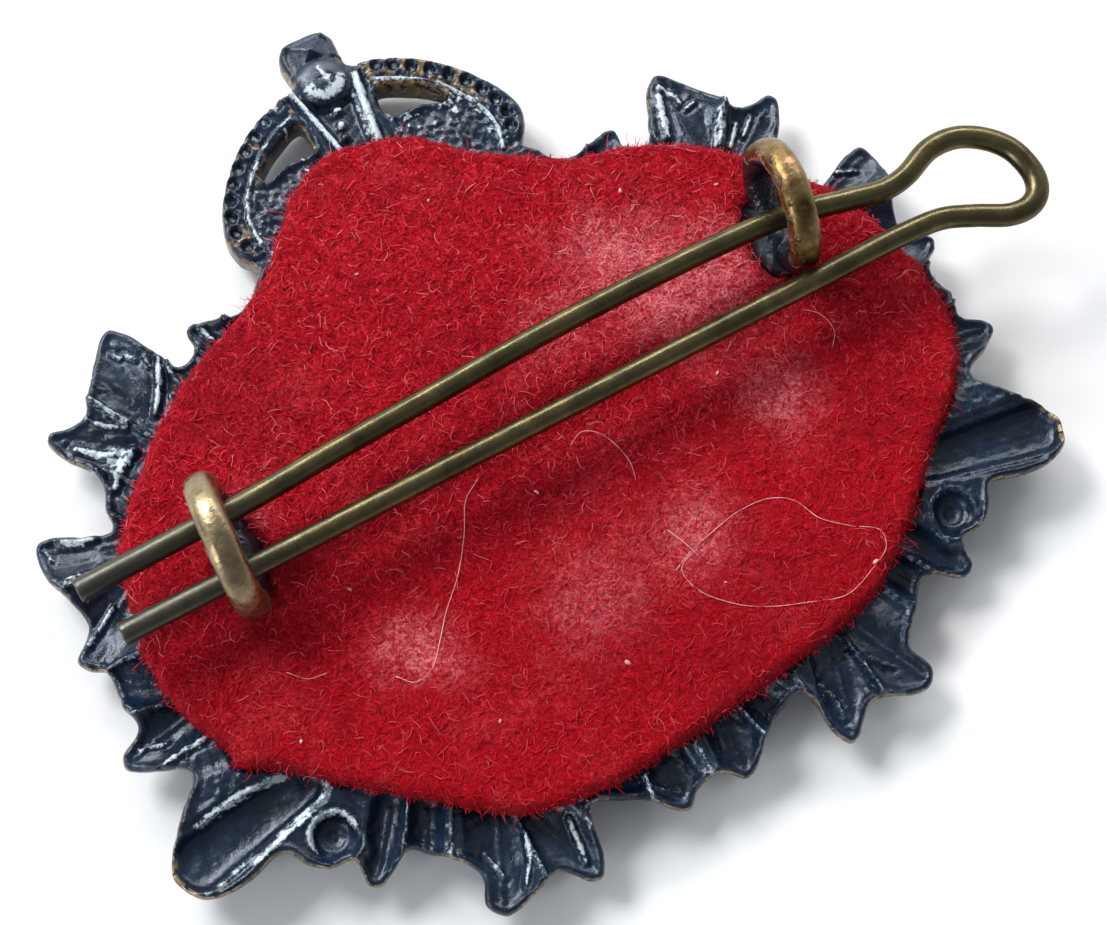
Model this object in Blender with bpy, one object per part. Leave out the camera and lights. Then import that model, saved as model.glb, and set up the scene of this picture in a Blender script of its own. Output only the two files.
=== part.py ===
"""Cap badge lying face down: die-struck wreath-and-crown plate, felt backing, two
ring lugs with their brazed feet, and a bent-wire retaining pin through the lugs.

Frame: metres, +Z up (out of the badge's back), +X along the pin towards its eye,
+Y towards the crown.  The origin is the centre of the flat front face of the
middle field, which is also the surface the badge rests on."""

import math

import bmesh
import bpy
from mathutils import Vector
from mathutils.geometry import tessellate_polygon

MM = 0.001
GAP = 0.3                 # clearance kept between touching pieces

# --- driving dimensions, millimetres ---------------------------------------
PLATE_BACK = 2.4          # height of the plate's flat back above the rest surface
PLATE_SHEET = 0.9         # thickness of the struck sheet
FIELD_Y = 7.0             # outline's y at the centre of the middle field
FIELD_AX, FIELD_AY = 9.0, 7.2          # middle field, half axes
SLOT_IN = (9.8, 7.8)      # curved slots that show the felt, inner half axes
SLOT_OUT = (12.5, 10.4)   # and outer half axes
SLOT_HALF_ANGLE = 30.0    # each slot's half sweep, degrees
BAND_IN, BAND_OUT = (13.1, 10.9), (18.2, 12.3)   # raised band on the front

FELT_THICK = 0.8
PIN_WIRE = 1.08           # wire diameter
PIN_Z = PLATE_BACK + 3.45
PIN_TILT = math.radians(0.8)           # the pin lies this much off the badge's x
LUG_WIRE = 1.38
# each ring lug: centre in outline coordinates, bore, turn about Z and lean to -X, degrees
LUGS = {
    "lug_left": ((-14.6, 9.72), 4.30, -4.0, 7.0),
    "lug_right": ((15.6, 12.65), 3.94, -7.0, 0.0),
}
LUG_Z = PLATE_BACK + 3.45
BRAZE_THICK = 0.5         # bead between the plate and each ring's flat foot

# --- half outline, x >= 0, crown top to bottom leaf, millimetres ------------
CROWN_HALF = [
    (0.0, 32.9), (0.95, 32.8), (1.45, 32.25), (1.5, 30.55), (2.9, 30.0), (4.55, 29.2),
    (5.8, 28.2), (6.85, 27.0), (7.7, 25.6), (8.0, 24.6), (7.85, 23.6), (7.2, 22.45),
]
WREATH_HALF = [
    (9.5, 20.95), (11.2, 21.5), (11.65, 21.3), (11.7, 20.2), (12.7, 19.9),
    (13.5, 21.2), (14.2, 22.55), (14.85, 23.1), (15.35, 22.95), (16.95, 20.6),
    (17.6, 19.65), (18.6, 19.5), (19.45, 19.6), (19.75, 19.2), (19.3, 18.0), (18.35, 16.6),
    (18.7, 14.9), (18.9, 14.0), (21.4, 14.95), (22.2, 15.0), (22.5, 14.2), (22.5, 13.2),
    (21.7, 10.4), (22.85, 9.1), (22.65, 8.6), (21.9, 8.0), (21.9, 6.2), (21.7, 5.0),
    (22.8, 4.2), (23.0, 3.7), (21.75, 2.8), (20.7, 2.3), (20.55, 1.75),
]
RIBBON_HALF = [
    (21.6, 0.5), (22.4, -0.4), (22.85, -1.0), (23.15, -1.75), (22.95, -2.55),
    (22.5, -3.15), (21.4, -3.55), (20.3, -3.5), (18.4, -3.1), (17.7, -4.1),
    (16.95, -4.6), (15.85, -4.75),
]
FOOT_HALF = [
    (15.75, -6.0), (15.3, -6.3), (13.4, -5.5), (12.7, -6.1), (11.3, -7.6),
    (11.15, -8.1), (11.55, -9.3), (11.0, -10.0), (9.6, -9.85), (8.1, -9.4),
    (7.45, -9.95), (6.9, -10.5), (6.45, -10.55), (6.0, -9.8), (5.45, -7.55),
    (3.75, -8.05), (1.8, -9.65), (1.4, -9.65), (0.9, -9.2), (0.0, -8.95),
]
CROWN_VOID = [            # opening between the crown's arch and its cap, right side
    (2.15, 28.5), (3.6, 27.95), (4.5, 27.35), (5.05, 26.75), (4.85, 26.45), (3.65, 26.8),
    (2.1, 26.95),
]
# hand-cut felt, anticlockwise from the right of its top point
FELT_OUTLINE = [
    (1.0, 25.5), (-1.8, 26.0), (-4.1, 25.0), (-5.8, 23.3), (-7.0, 21.9), (-9.1, 20.5),
    (-11.2, 19.5), (-13.8, 18.0), (-16.0, 16.1), (-17.9, 14.1), (-19.2, 12.0),
    (-19.8, 9.3), (-20.1, 6.8), (-19.6, 4.3), (-18.7, 2.2), (-18.6, 1.2), (-17.0, 0.3),
    (-15.2, -1.3), (-13.2, -2.9), (-10.6, -5.0), (-8.3, -6.6), (-5.6, -7.2),
    (-3.2, -7.3), (-0.7, -7.1), (3.8, -6.6), (7.7, -6.0), (10.9, -5.1), (14.0, -2.9),
    (16.8, -0.3), (19.3, 1.8), (20.8, 4.4), (21.0, 7.2), (20.3, 10.6), (19.1, 13.4),
    (16.4, 16.5), (14.4, 18.3), (11.3, 19.8), (8.9, 20.4), (6.8, 21.6), (4.5, 23.0),
    (2.6, 24.8),
]
# centre line of the pin's wire: upper leg, eye, lower leg
PIN_PATH = [
    (-21.3, 10.82), (-16.5, 10.98), (-12.5, 11.15), (-8.5, 11.45), (-3.0, 11.8),
    (2.6, 12.15), (8.3, 12.3), (12.5, 12.28), (15.6, 12.1), (18.5, 11.5), (20.4, 11.15),
    (21.6, 11.3), (23.4, 12.0), (24.8, 11.95), (26.0, 11.3), (26.85, 10.3), (27.15, 9.3),
    (27.15, 8.4), (26.8, 7.65), (26.1, 7.25), (25.1, 7.3), (23.6, 8.0), (22.1, 8.6),
    (20.3, 8.76), (15.6, 8.68), (0.0, 8.46), (-10.0, 8.32), (-20.4, 8.17),
]


def clear_scene():
    for ob in list(bpy.data.objects):
        bpy.data.objects.remove(ob, do_unlink=True)


def material(name, colour, metallic, roughness):
    mat = bpy.data.materials.new(name)
    mat.use_nodes = True
    node = mat.node_tree.nodes["Principled BSDF"]
    node.inputs["Base Color"].default_value = (*colour, 1.0)
    node.inputs["Metallic"].default_value = metallic
    node.inputs["Roughness"].default_value = roughness
    return mat


def mirrored(half):
    """Closes a half outline that starts and ends on x = 0, anticlockwise."""
    left = [(-x, y) for x, y in half[1:-1]]
    return [half[0]] + left + [half[-1]] + [p for p in reversed(half[1:-1])]


def ellipse(ax, ay, count, start=0.0, sweep=360.0):
    closed = sweep >= 360.0
    steps = count if closed else count - 1
    points = []
    for i in range(count):
        a = math.radians(start + sweep * i / steps)
        points.append((ax * math.cos(a), FIELD_Y + ay * math.sin(a)))
    return points


def closed_spline(points, steps):
    """Catmull-Rom through a closed ring of points."""
    out, n = [], len(points)
    for i in range(n):
        p0, p1, p2, p3 = (Vector(points[(i + k) % n]) for k in (-1, 0, 1, 2))
        for s in range(steps):
            t = s / steps
            out.append(tuple(0.5 * (2 * p1 + (p2 - p0) * t
                       + (2 * p0 - 5 * p1 + 4 * p2 - p3) * t * t
                       + (3 * p1 - p0 - 3 * p2 + p3) * t ** 3)))
    return out


def area(loop):
    return 0.5 * sum(a[0] * b[1] - b[0] * a[1] for a, b in zip(loop, loop[1:] + loop[:1]))


def slab(name, outer, holes, low, high):
    """Closed plate between two heights, its outline and holes straight sided."""
    loops = [outer if area(outer) > 0 else outer[::-1]]
    loops += [h if area(h) < 0 else h[::-1] for h in holes]
    flat = [p for loop in loops for p in loop]
    tris = tessellate_polygon([[Vector((x, y, 0.0)) for x, y in loop] for loop in loops])
    bm = bmesh.new()
    top = [bm.verts.new((x * MM, (y - FIELD_Y) * MM, high * MM)) for x, y in flat]
    low_ring = [bm.verts.new((x * MM, (y - FIELD_Y) * MM, low * MM)) for x, y in flat]
    for a, b, c in tris:
        bm.faces.new((top[a], top[b], top[c]))
        bm.faces.new((low_ring[c], low_ring[b], low_ring[a]))
    start = 0
    for loop in loops:
        for i in range(len(loop)):
            a, b = start + i, start + (i + 1) % len(loop)
            bm.faces.new((low_ring[a], low_ring[b], top[b], top[a]))
        start += len(loop)
    bmesh.ops.recalc_face_normals(bm, faces=bm.faces)
    return finish_mesh(name, bm)


def finish_mesh(name, bm, smooth_below=None):
    mesh = bpy.data.meshes.new(name)
    bm.to_mesh(mesh)
    bm.free()
    if smooth_below is not None:
        mesh.shade_smooth()
        mesh.set_sharp_from_angle(angle=math.radians(smooth_below))
    ob = bpy.data.objects.new(name, mesh)
    bpy.context.scene.collection.objects.link(ob)
    return ob


def guide(ob):
    ob.hide_render = True
    ob.display_type = "WIRE"
    return ob


def boolean(ob, operand, operation):
    mod = ob.modifiers.new(operation.lower(), "BOOLEAN")
    mod.operation = operation
    mod.solver = "EXACT"
    mod.object = operand


def tube(name, points, radius, sides):
    """Round wire along an open path of 3-D points, with flat cut ends."""
    bm = bmesh.new()
    rings = []
    count = len(points)
    for i, point in enumerate(points):
        ahead = points[min(i + 1, count - 1)] - points[max(i - 1, 0)]
        ahead.normalize()
        side = ahead.cross(Vector((0, 0, 1))).normalized()
        up = side.cross(ahead)
        rings.append([bm.verts.new(point + radius * (math.cos(a) * side + math.sin(a) * up))
                      for a in (2 * math.pi * k / sides for k in range(sides))])
    for ring, after in zip(rings, rings[1:]):
        for k in range(sides):
            m = (k + 1) % sides
            bm.faces.new((ring[k], ring[m], after[m], after[k]))
    bm.faces.new(rings[0][::-1])
    bm.faces.new(rings[-1])
    bmesh.ops.recalc_face_normals(bm, faces=bm.faces)
    return finish_mesh(name, bm, 45)


def open_spline(points, steps):
    pts = [2 * points[0] - points[1]] + points + [2 * points[-1] - points[-2]]
    out = []
    for p0, p1, p2, p3 in zip(pts, pts[1:], pts[2:], pts[3:]):
        for s in range(steps):
            t = s / steps
            out.append(0.5 * (2 * p1 + (p2 - p0) * t + (2 * p0 - 5 * p1 + 4 * p2 - p3) * t * t
                       + (3 * p1 - p0 - 3 * p2 + p3) * t ** 3))
    out.append(points[-1])
    return out


def ring_lug(name, centre, bore, turn, lean, segments=28, sides=12):
    """Ring standing on edge, its hole along x, with a flat foot towards the plate."""
    major = bore / 2 + LUG_WIRE / 2
    turn, lean = math.radians(turn), math.radians(lean)
    foot = (PLATE_BACK + GAP + BRAZE_THICK + GAP) * MM
    bm = bmesh.new()
    rings = []
    for i in range(segments):
        u = 2 * math.pi * i / segments
        ring = []
        for k in range(sides):
            v = 2 * math.pi * k / sides
            r = major + LUG_WIRE / 2 * math.cos(v)
            across, along, rise = r * math.cos(u), LUG_WIRE / 2 * math.sin(v), r * math.sin(u)
            along, rise = (along * math.cos(lean) - rise * math.sin(lean),
                           along * math.sin(lean) + rise * math.cos(lean))
            x = centre[0] + along * math.cos(turn) - across * math.sin(turn)
            y = centre[1] - FIELD_Y + along * math.sin(turn) + across * math.cos(turn)
            z = LUG_Z + rise
            ring.append(bm.verts.new((x * MM, y * MM, max(z * MM, foot))))
        rings.append(ring)
    for i, ring in enumerate(rings):
        after = rings[(i + 1) % segments]
        for k in range(sides):
            m = (k + 1) % sides
            bm.faces.new((ring[k], ring[m], after[m], after[k]))
    bmesh.ops.recalc_face_normals(bm, faces=bm.faces)
    return finish_mesh(name, bm, 40)


def oval(centre, half_x, half_y, count, turn):
    points = []
    turn = math.radians(turn)
    for i in range(count):
        a = 2 * math.pi * i / count
        x, y = half_x * math.cos(a), half_y * math.sin(a)
        points.append((centre[0] + x * math.cos(turn) - y * math.sin(turn),
                       centre[1] + x * math.sin(turn) + y * math.cos(turn)))
    return points


def lug_foot(key):
    """Where a lug meets the plate: a leaning ring's foot is beside its centre."""
    centre, _, _, lean = LUGS[key]
    return (centre[0] + (LUG_Z - PLATE_BACK - 0.7) * math.tan(math.radians(lean)), centre[1])


def build():
    clear_scene()
    lacquer = material("lacquered_brass", (0.03, 0.035, 0.05), 0.6, 0.3)
    felt = material("red_felt", (0.45, 0.01, 0.02), 0.0, 0.95)
    brass = material("lug_brass", (0.42, 0.28, 0.10), 0.9, 0.35)
    braze = material("braze_metal", (0.05, 0.05, 0.06), 0.6, 0.4)
    pin_wire = material("pin_brass", (0.25, 0.20, 0.09), 0.9, 0.35)

    # badge plate: struck sheet with the leaf, crown and ribbon outline
    outline = mirrored(CROWN_HALF + WREATH_HALF + RIBBON_HALF + FOOT_HALF)
    slots = []
    for middle in (45.0, 135.0, 225.0, 315.0):
        start = middle - SLOT_HALF_ANGLE
        sweep = 2 * SLOT_HALF_ANGLE
        slots.append(ellipse(*SLOT_OUT, 10, start, sweep)
                     + ellipse(*SLOT_IN, 10, start, sweep)[::-1])
    voids = [CROWN_VOID, [(-x, y) for x, y in CROWN_VOID]]
    plate = slab("badge_plate", outline, slots + voids, PLATE_BACK - PLATE_SHEET, PLATE_BACK)
    band = guide(slab("front_band", ellipse(*BAND_OUT, 48), [ellipse(*BAND_IN, 48)],
                      0.0, PLATE_BACK - PLATE_SHEET / 2))
    field = guide(slab("front_field", ellipse(FIELD_AX, FIELD_AY, 40), [],
                       0.0, PLATE_BACK - PLATE_SHEET / 2))
    # the crown's raised front stands back from the outline and from its two openings
    raised = [(x * 0.8, 22.9 + (y - 22.45) * 0.86) for x, y in CROWN_HALF] + [(0.0, 22.6)]
    wider = [(3.5 + (x - 3.5) * 1.1, 27.45 + (y - 27.45) * 1.18) for x, y in CROWN_VOID]
    crown_front = guide(slab("front_crown", mirrored(raised),
                             [wider, [(-x, y) for x, y in wider]],
                             0.7, PLATE_BACK - PLATE_SHEET / 2))
    for piece in (band, field, crown_front):
        boolean(plate, piece, "UNION")
    plate.data.materials.append(lacquer)

    # felt backing with a slit round each lug foot
    outline = closed_spline(FELT_OUTLINE, 2)
    slits = [oval(lug_foot(key), 1.15, 3.1, 20, LUGS[key][2]) for key in LUGS]
    sheet = slab("felt_backing", outline, slits, PLATE_BACK + GAP,
                 PLATE_BACK + GAP + FELT_THICK)
    sheet.data.materials.append(felt)

    # lugs and the braze beads round their feet
    for key, (centre, bore, turn, lean) in LUGS.items():
        ring = ring_lug(key, centre, bore, turn, lean)
        ring.data.materials.append(brass)
        bead = slab(key + "_braze", oval(lug_foot(key), 0.85, 2.5, 24, turn), [],
                    PLATE_BACK + GAP, PLATE_BACK + GAP + BRAZE_THICK)
        bead.data.materials.append(braze)

    # pin: one wire bent round into an eye, its legs cut square
    path = [Vector((x * MM, (y - FIELD_Y) * MM, PIN_Z * MM)) for x, y in PIN_PATH]
    pin = tube("cotter_pin", open_spline(path, 3), PIN_WIRE / 2 * MM, 10)
    pin.data.materials.append(pin_wire)


build()
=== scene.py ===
"""Looks of the cap badge: a struck, lacquered wreath-and-crown plate seen from its
back, its red felt with nap and lint, two brazed ring lugs and the bent brass pin.
Lengths in the tables are millimetres, y measured up the badge's outline; everything
is turned into metres in the row's frame when a mesh is made."""

import math

import bpy
import numpy as np
from mathutils import Matrix, Vector
from mathutils.geometry import delaunay_2d_cdt


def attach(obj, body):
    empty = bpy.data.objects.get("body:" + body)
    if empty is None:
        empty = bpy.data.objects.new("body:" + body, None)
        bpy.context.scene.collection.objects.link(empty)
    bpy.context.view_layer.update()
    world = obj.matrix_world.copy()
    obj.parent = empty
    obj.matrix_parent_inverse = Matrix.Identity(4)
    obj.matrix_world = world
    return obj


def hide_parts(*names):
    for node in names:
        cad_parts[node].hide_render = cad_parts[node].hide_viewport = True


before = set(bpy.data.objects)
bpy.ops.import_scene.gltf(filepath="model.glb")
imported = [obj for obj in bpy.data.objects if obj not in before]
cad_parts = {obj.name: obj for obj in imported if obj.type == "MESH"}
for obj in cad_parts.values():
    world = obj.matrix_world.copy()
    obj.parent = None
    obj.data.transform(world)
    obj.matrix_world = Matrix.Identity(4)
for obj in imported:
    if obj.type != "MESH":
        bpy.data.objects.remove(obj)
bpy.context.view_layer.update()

MM = 0.001
FIELD_Y = 7.0
BACK = 2.4                # flat back of the plate
FELT_LOW, FELT_TOP = 2.7, 3.5
PIN_Z = 5.85
LUG_Z = 5.85

CROWN_HALF = [
    (0.0, 32.9), (0.95, 32.8), (1.45, 32.25), (1.5, 30.55), (2.9, 30.0), (4.55, 29.2),
    (5.8, 28.2), (6.85, 27.0), (7.7, 25.6), (8.0, 24.6), (7.85, 23.6), (7.2, 22.45),
]
WREATH_HALF = [
    (9.5, 20.95), (11.2, 21.5), (11.65, 21.3), (11.7, 20.2), (12.7, 19.9),
    (13.5, 21.2), (14.2, 22.55), (14.85, 23.1), (15.35, 22.95), (16.95, 20.6),
    (17.6, 19.65), (18.6, 19.5), (19.45, 19.6), (19.75, 19.2), (19.3, 18.0), (18.35, 16.6),
    (18.7, 14.9), (18.9, 14.0), (21.4, 14.95), (22.2, 15.0), (22.5, 14.2), (22.5, 13.2),
    (21.7, 10.4), (22.85, 9.1), (22.65, 8.6), (21.9, 8.0), (21.9, 6.2), (21.7, 5.0),
    (22.8, 4.2), (23.0, 3.7), (21.75, 2.8), (20.7, 2.3), (20.55, 1.75),
]
RIBBON_HALF = [
    (21.6, 0.5), (22.4, -0.4), (22.85, -1.0), (23.15, -1.75), (22.95, -2.55),
    (22.5, -3.15), (21.4, -3.55), (20.3, -3.5), (18.4, -3.1), (17.7, -4.1),
    (16.95, -4.6), (15.85, -4.75),
]
FOOT_HALF = [
    (15.75, -6.0), (15.3, -6.3), (13.4, -5.5), (12.7, -6.1), (11.3, -7.6),
    (11.15, -8.1), (11.55, -9.3), (11.0, -10.0), (9.6, -9.85), (8.1, -9.4),
    (7.45, -9.95), (6.9, -10.5), (6.45, -10.55), (6.0, -9.8), (5.45, -7.55),
    (3.75, -8.05), (1.8, -9.65), (1.4, -9.65), (0.9, -9.2), (0.0, -8.95),
]
CROWN_VOID = [
    (2.15, 28.5), (3.6, 27.95), (4.5, 27.35), (5.05, 26.75), (4.85, 26.45), (3.65, 26.8),
    (2.1, 26.95),
]
FELT_OUTLINE = [
    (1.0, 25.5), (-1.8, 26.0), (-4.1, 25.0), (-5.8, 23.3), (-7.0, 21.9), (-9.1, 20.5),
    (-11.2, 19.5), (-13.8, 18.0), (-16.0, 16.1), (-17.9, 14.1), (-19.2, 12.0),
    (-19.8, 9.3), (-20.1, 6.8), (-19.6, 4.3), (-18.7, 2.2), (-18.6, 1.2), (-17.0, 0.3),
    (-15.2, -1.3), (-13.2, -2.9), (-10.6, -5.0), (-8.3, -6.6), (-5.6, -7.2),
    (-3.2, -7.3), (-0.7, -7.1), (3.8, -6.6), (7.7, -6.0), (10.9, -5.1), (14.0, -2.9),
    (16.8, -0.3), (19.3, 1.8), (20.8, 4.4), (21.0, 7.2), (20.3, 10.6), (19.1, 13.4),
    (16.4, 16.5), (14.4, 18.3), (11.3, 19.8), (8.9, 20.4), (6.8, 21.6), (4.5, 23.0),
    (2.6, 24.8),
]
PIN_PATH = [
    (-21.3, 10.82), (-16.5, 10.98), (-12.5, 11.15), (-8.5, 11.45), (-3.0, 11.8),
    (2.6, 12.15), (8.3, 12.3), (12.5, 12.28), (15.6, 12.1), (18.5, 11.5), (20.4, 11.15),
    (21.6, 11.3), (23.4, 12.0), (24.8, 11.95), (26.0, 11.3), (26.85, 10.3), (27.15, 9.3),
    (27.15, 8.4), (26.8, 7.65), (26.1, 7.25), (25.1, 7.3), (23.6, 8.0), (22.1, 8.6),
    (20.3, 8.76), (15.6, 8.68), (0.0, 8.46), (-10.0, 8.32), (-20.4, 8.17),
]
PIN_WIRE = 1.08
LUG_WIRE = 1.38
LUGS = {
    "lug_left": ((-14.6, 9.72), 4.30, -4.0, 7.0),
    "lug_right": ((15.6, 12.65), 3.94, -7.0, 0.0),
}

# leaf lobes, right half: root, tip, how wide the lobe's hollow is
LOBES = [
    ((14.4, 16.6), (14.95, 22.3), 1.9), ((15.4, 16.4), (19.0, 18.9), 1.5),
    ((12.2, 17.6), (12.5, 19.7), 0.9), ((9.4, 18.8), (11.2, 20.8), 0.8),
    ((8.2, 19.6), (8.6, 21.2), 0.9),
    ((17.3, 12.6), (21.9, 14.4), 1.3), ((17.6, 12.0), (22.1, 9.3), 1.5),
    ((17.6, 14.4), (18.4, 16.2), 0.8),
    ((19.4, 6.0), (21.5, 7.2), 0.9), ((18.9, 4.6), (22.4, 3.9), 0.9),
    ((13.4, -3.4), (15.2, -5.8), 0.7), ((12.0, -4.2), (12.8, -5.7), 0.7),
    ((9.0, -5.2), (10.9, -9.5), 1.3), ((8.2, -5.4), (6.8, -10.1), 1.1),
    ((3.4, -6.2), (4.0, -7.7), 0.9), ((1.7, -6.2), (1.5, -9.3), 0.9),
]
PEARLS = [
    (-2.7, 29.8), (-3.6, 29.35), (-4.4, 28.85), (-5.15, 28.3), (-5.85, 27.65),
    (-6.4, 27.0), (-6.9, 26.25), (-7.25, 25.45), (-7.4, 24.6), (-7.2, 23.75),
    (2.7, 29.65), (3.45, 29.3), (4.2, 28.8), (4.95, 28.25), (5.65, 27.6),
    (6.25, 26.9), (6.75, 26.15), (7.1, 25.35), (7.3, 24.5), (7.1, 23.7),
]
# single creases raised where the die was tooled: points, half width, height, painted highlight strength
CREASES = [
    ([(-13.4, 20.6), (-14.0, 19.3), (-14.7, 18.2)], 0.17, 0.26, 1.0),
    ([(-17.0, 19.9), (-16.6, 19.1), (-16.0, 18.3)], 0.12, 0.24, 1.0),
    ([(-17.7, 19.4), (-17.1, 18.7), (-16.2, 18.1)], 0.12, 0.22, 1.0),
    ([(-15.6, 18.8), (-15.4, 17.3)], 0.06, 0.10, 0.6),
    ([(-18.7, 18.3), (-17.8, 17.5), (-16.4, 17.0)], 0.24, 0.20, 1.0),
    ([(-16.4, 17.0), (-17.2, 16.5), (-17.9, 15.8)], 0.22, 0.20, 1.0),
    ([(-17.6, 17.1), (-17.1, 16.8), (-17.4, 16.2)], 0.30, 0.10, 1.0),
    ([(-16.7, 21.1), (-16.5, 20.3)], 0.07, 0.10, 0.6),
    ([(-15.3, 21.9), (-15.0, 21.5)], 0.12, 0.12, 0.9),
    ([(-14.8, 21.6), (-14.4, 21.1)], 0.13, 0.14, 0.9),
    ([(-14.0, 21.1), (-13.9, 20.5)], 0.11, 0.14, 0.9),
    ([(-12.9, 19.4), (-12.8, 18.7)], 0.08, 0.15, 0.8),
    ([(-13.7, 18.7), (-13.9, 17.8)], 0.09, 0.15, 0.8),
    ([(-21.2, 14.5), (-20.5, 14.1), (-19.8, 14.0)], 0.20, 0.16, 1.0),
    ([(-22.0, 14.5), (-21.9, 13.9)], 0.10, 0.12, 0.7),
    ([(-21.6, 12.6), (-19.6, 12.3)], 0.12, 0.18, 0.8),
    ([(-22.1, 9.5), (-20.4, 10.6)], 0.13, 0.18, 0.9),
    ([(-11.0, 21.1), (-10.7, 20.3)], 0.15, 0.14, 0.9),
    ([(-21.3, 2.9), (-19.2, 3.1)], 0.16, 0.16, 1.0),
    ([(-22.1, 4.1), (-20.8, 3.8)], 0.10, 0.12, 0.8),
    ([(14.8, 22.5), (14.4, 21.6), (14.15, 20.7), (13.85, 19.8)], 0.22, 0.20, 1.0),
    ([(14.8, 22.3), (15.3, 21.5), (15.3, 21.1)], 0.14, 0.14, 1.0),
    ([(15.4, 20.75), (15.9, 20.84)], 0.12, 0.12, 0.8),
    ([(16.8, 19.9), (16.3, 19.0), (15.8, 18.1)], 0.09, 0.24, 1.0),
    ([(16.6, 19.5), (16.0, 18.8), (15.6, 18.2)], 0.08, 0.16, 0.9),
    ([(17.15, 18.8), (16.8, 18.35), (16.2, 17.8)], 0.11, 0.22, 1.0),
    ([(18.1, 18.9), (17.2, 18.1)], 0.10, 0.18, 0.9),
    ([(18.95, 18.8), (18.4, 18.65)], 0.06, 0.12, 0.7),
    ([(20.2, 14.3), (21.3, 13.9)], 0.10, 0.16, 0.8),
    ([(19.8, 12.9), (21.6, 12.2)], 0.10, 0.18, 0.5),
    ([(8.3, -6.85), (8.85, -7.4), (9.95, -8.5)], 0.08, 0.20, 0.45),
    ([(6.5, -7.7), (6.8, -8.4), (6.75, -9.5)], 0.11, 0.20, 0.6),
    ([(8.5, -8.7), (8.6, -9.25)], 0.09, 0.14, 0.5),
    ([(11.2, -7.2), (12.0, -7.25)], 0.08, 0.14, 0.5),
    ([(8.9, -9.5), (9.9, -9.95)], 0.08, 0.10, 0.5),
    ([(12.3, -6.75), (12.75, -6.65)], 0.07, 0.10, 0.5),
    ([(-6.6, -7.6), (-6.8, -9.6)], 0.14, 0.20, 0.9),
    ([(-8.6, -7.2), (-9.0, -8.4), (-9.7, -9.3)], 0.13, 0.20, 0.9),
    ([(-10.6, -7.2), (-10.3, -8.6)], 0.10, 0.16, 0.7),
    ([(-2.9, -7.9), (-1.6, -8.9)], 0.10, 0.16, 0.6),
]
ARCH_RIDGES = [
    [(-2.35, 28.95), (-3.3, 28.6), (-4.35, 27.95), (-5.3, 27.1), (-6.1, 26.05),
     (-6.55, 25.0), (-6.6, 23.9), (-6.3, 22.8)],
    [(2.25, 29.05), (3.3, 28.55), (4.3, 27.95), (5.2, 27.1), (6.0, 25.95),
     (6.4, 24.9), (6.5, 23.9), (6.2, 22.8)],
]


# ---------------------------------------------------------------- numbers ---
def smooth(x, low, high):
    t = np.clip((x - low) / (high - low), 0.0, 1.0)
    return t * t * (3.0 - 2.0 * t)


_GRIDS = {}


def value_noise(x, y, seed):
    grid = _GRIDS.setdefault(seed, np.random.default_rng(seed).uniform(-1, 1, (256, 256)))
    xi, yi = np.floor(x).astype(int), np.floor(y).astype(int)
    fx, fy = x - xi, y - yi
    u = fx ** 3 * (fx * (fx * 6 - 15) + 10)
    v = fy ** 3 * (fy * (fy * 6 - 15) + 10)
    a, b = grid[xi & 255, yi & 255], grid[(xi + 1) & 255, yi & 255]
    c, d = grid[xi & 255, (yi + 1) & 255], grid[(xi + 1) & 255, (yi + 1) & 255]
    return (a * (1 - u) + b * u) * (1 - v) + (c * (1 - u) + d * u) * v


def fbm(x, y, size, octaves, seed):
    """Noise of feature size `size`, roughly in -1..1."""
    total, gain, norm = 0.0, 1.0, 0.0
    px, py = np.asarray(x, float) / size, np.asarray(y, float) / size
    for k in range(octaves):
        total = total + gain * value_noise(px + 17.3 * k, py + 9.1 * k, seed + k)
        norm += gain
        px, py = 1.62 * px - 1.18 * py, 1.18 * px + 1.62 * py
        gain *= 0.55
    return total / norm


def ridged(x, y, size, octaves, seed):
    return 1.0 - np.abs(fbm(x, y, size, octaves, seed)) * 2.2


def seg_dist(x, y, a, b):
    """Distance to a segment, the place along it (0..1) and its signed side."""
    ax, ay = a
    dx, dy = b[0] - ax, b[1] - ay
    ll = dx * dx + dy * dy + 1e-12
    t = np.clip(((x - ax) * dx + (y - ay) * dy) / ll, 0.0, 1.0)
    ex, ey = x - ax - t * dx, y - ay - t * dy
    return np.hypot(ex, ey), t, (dx * ey - dy * ex)


def line_dist(x, y, points, closed=False):
    pairs = list(zip(points, points[1:] + (points[:1] if closed else [])))
    best = np.full(np.shape(x), 1e9)
    for a, b in pairs:
        d, _, _ = seg_dist(x, y, a, b)
        best = np.minimum(best, d)
    return best


def inside(x, y, loop):
    hit = np.zeros(np.shape(x), bool)
    x0, y0 = loop[-1]
    for x1, y1 in loop:
        if y0 != y1:
            hit ^= ((y1 > y) != (y0 > y)) & (x < (x0 - x1) * (y - y1) / (y0 - y1) + x1)
        x0, y0 = x1, y1
    return hit


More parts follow.
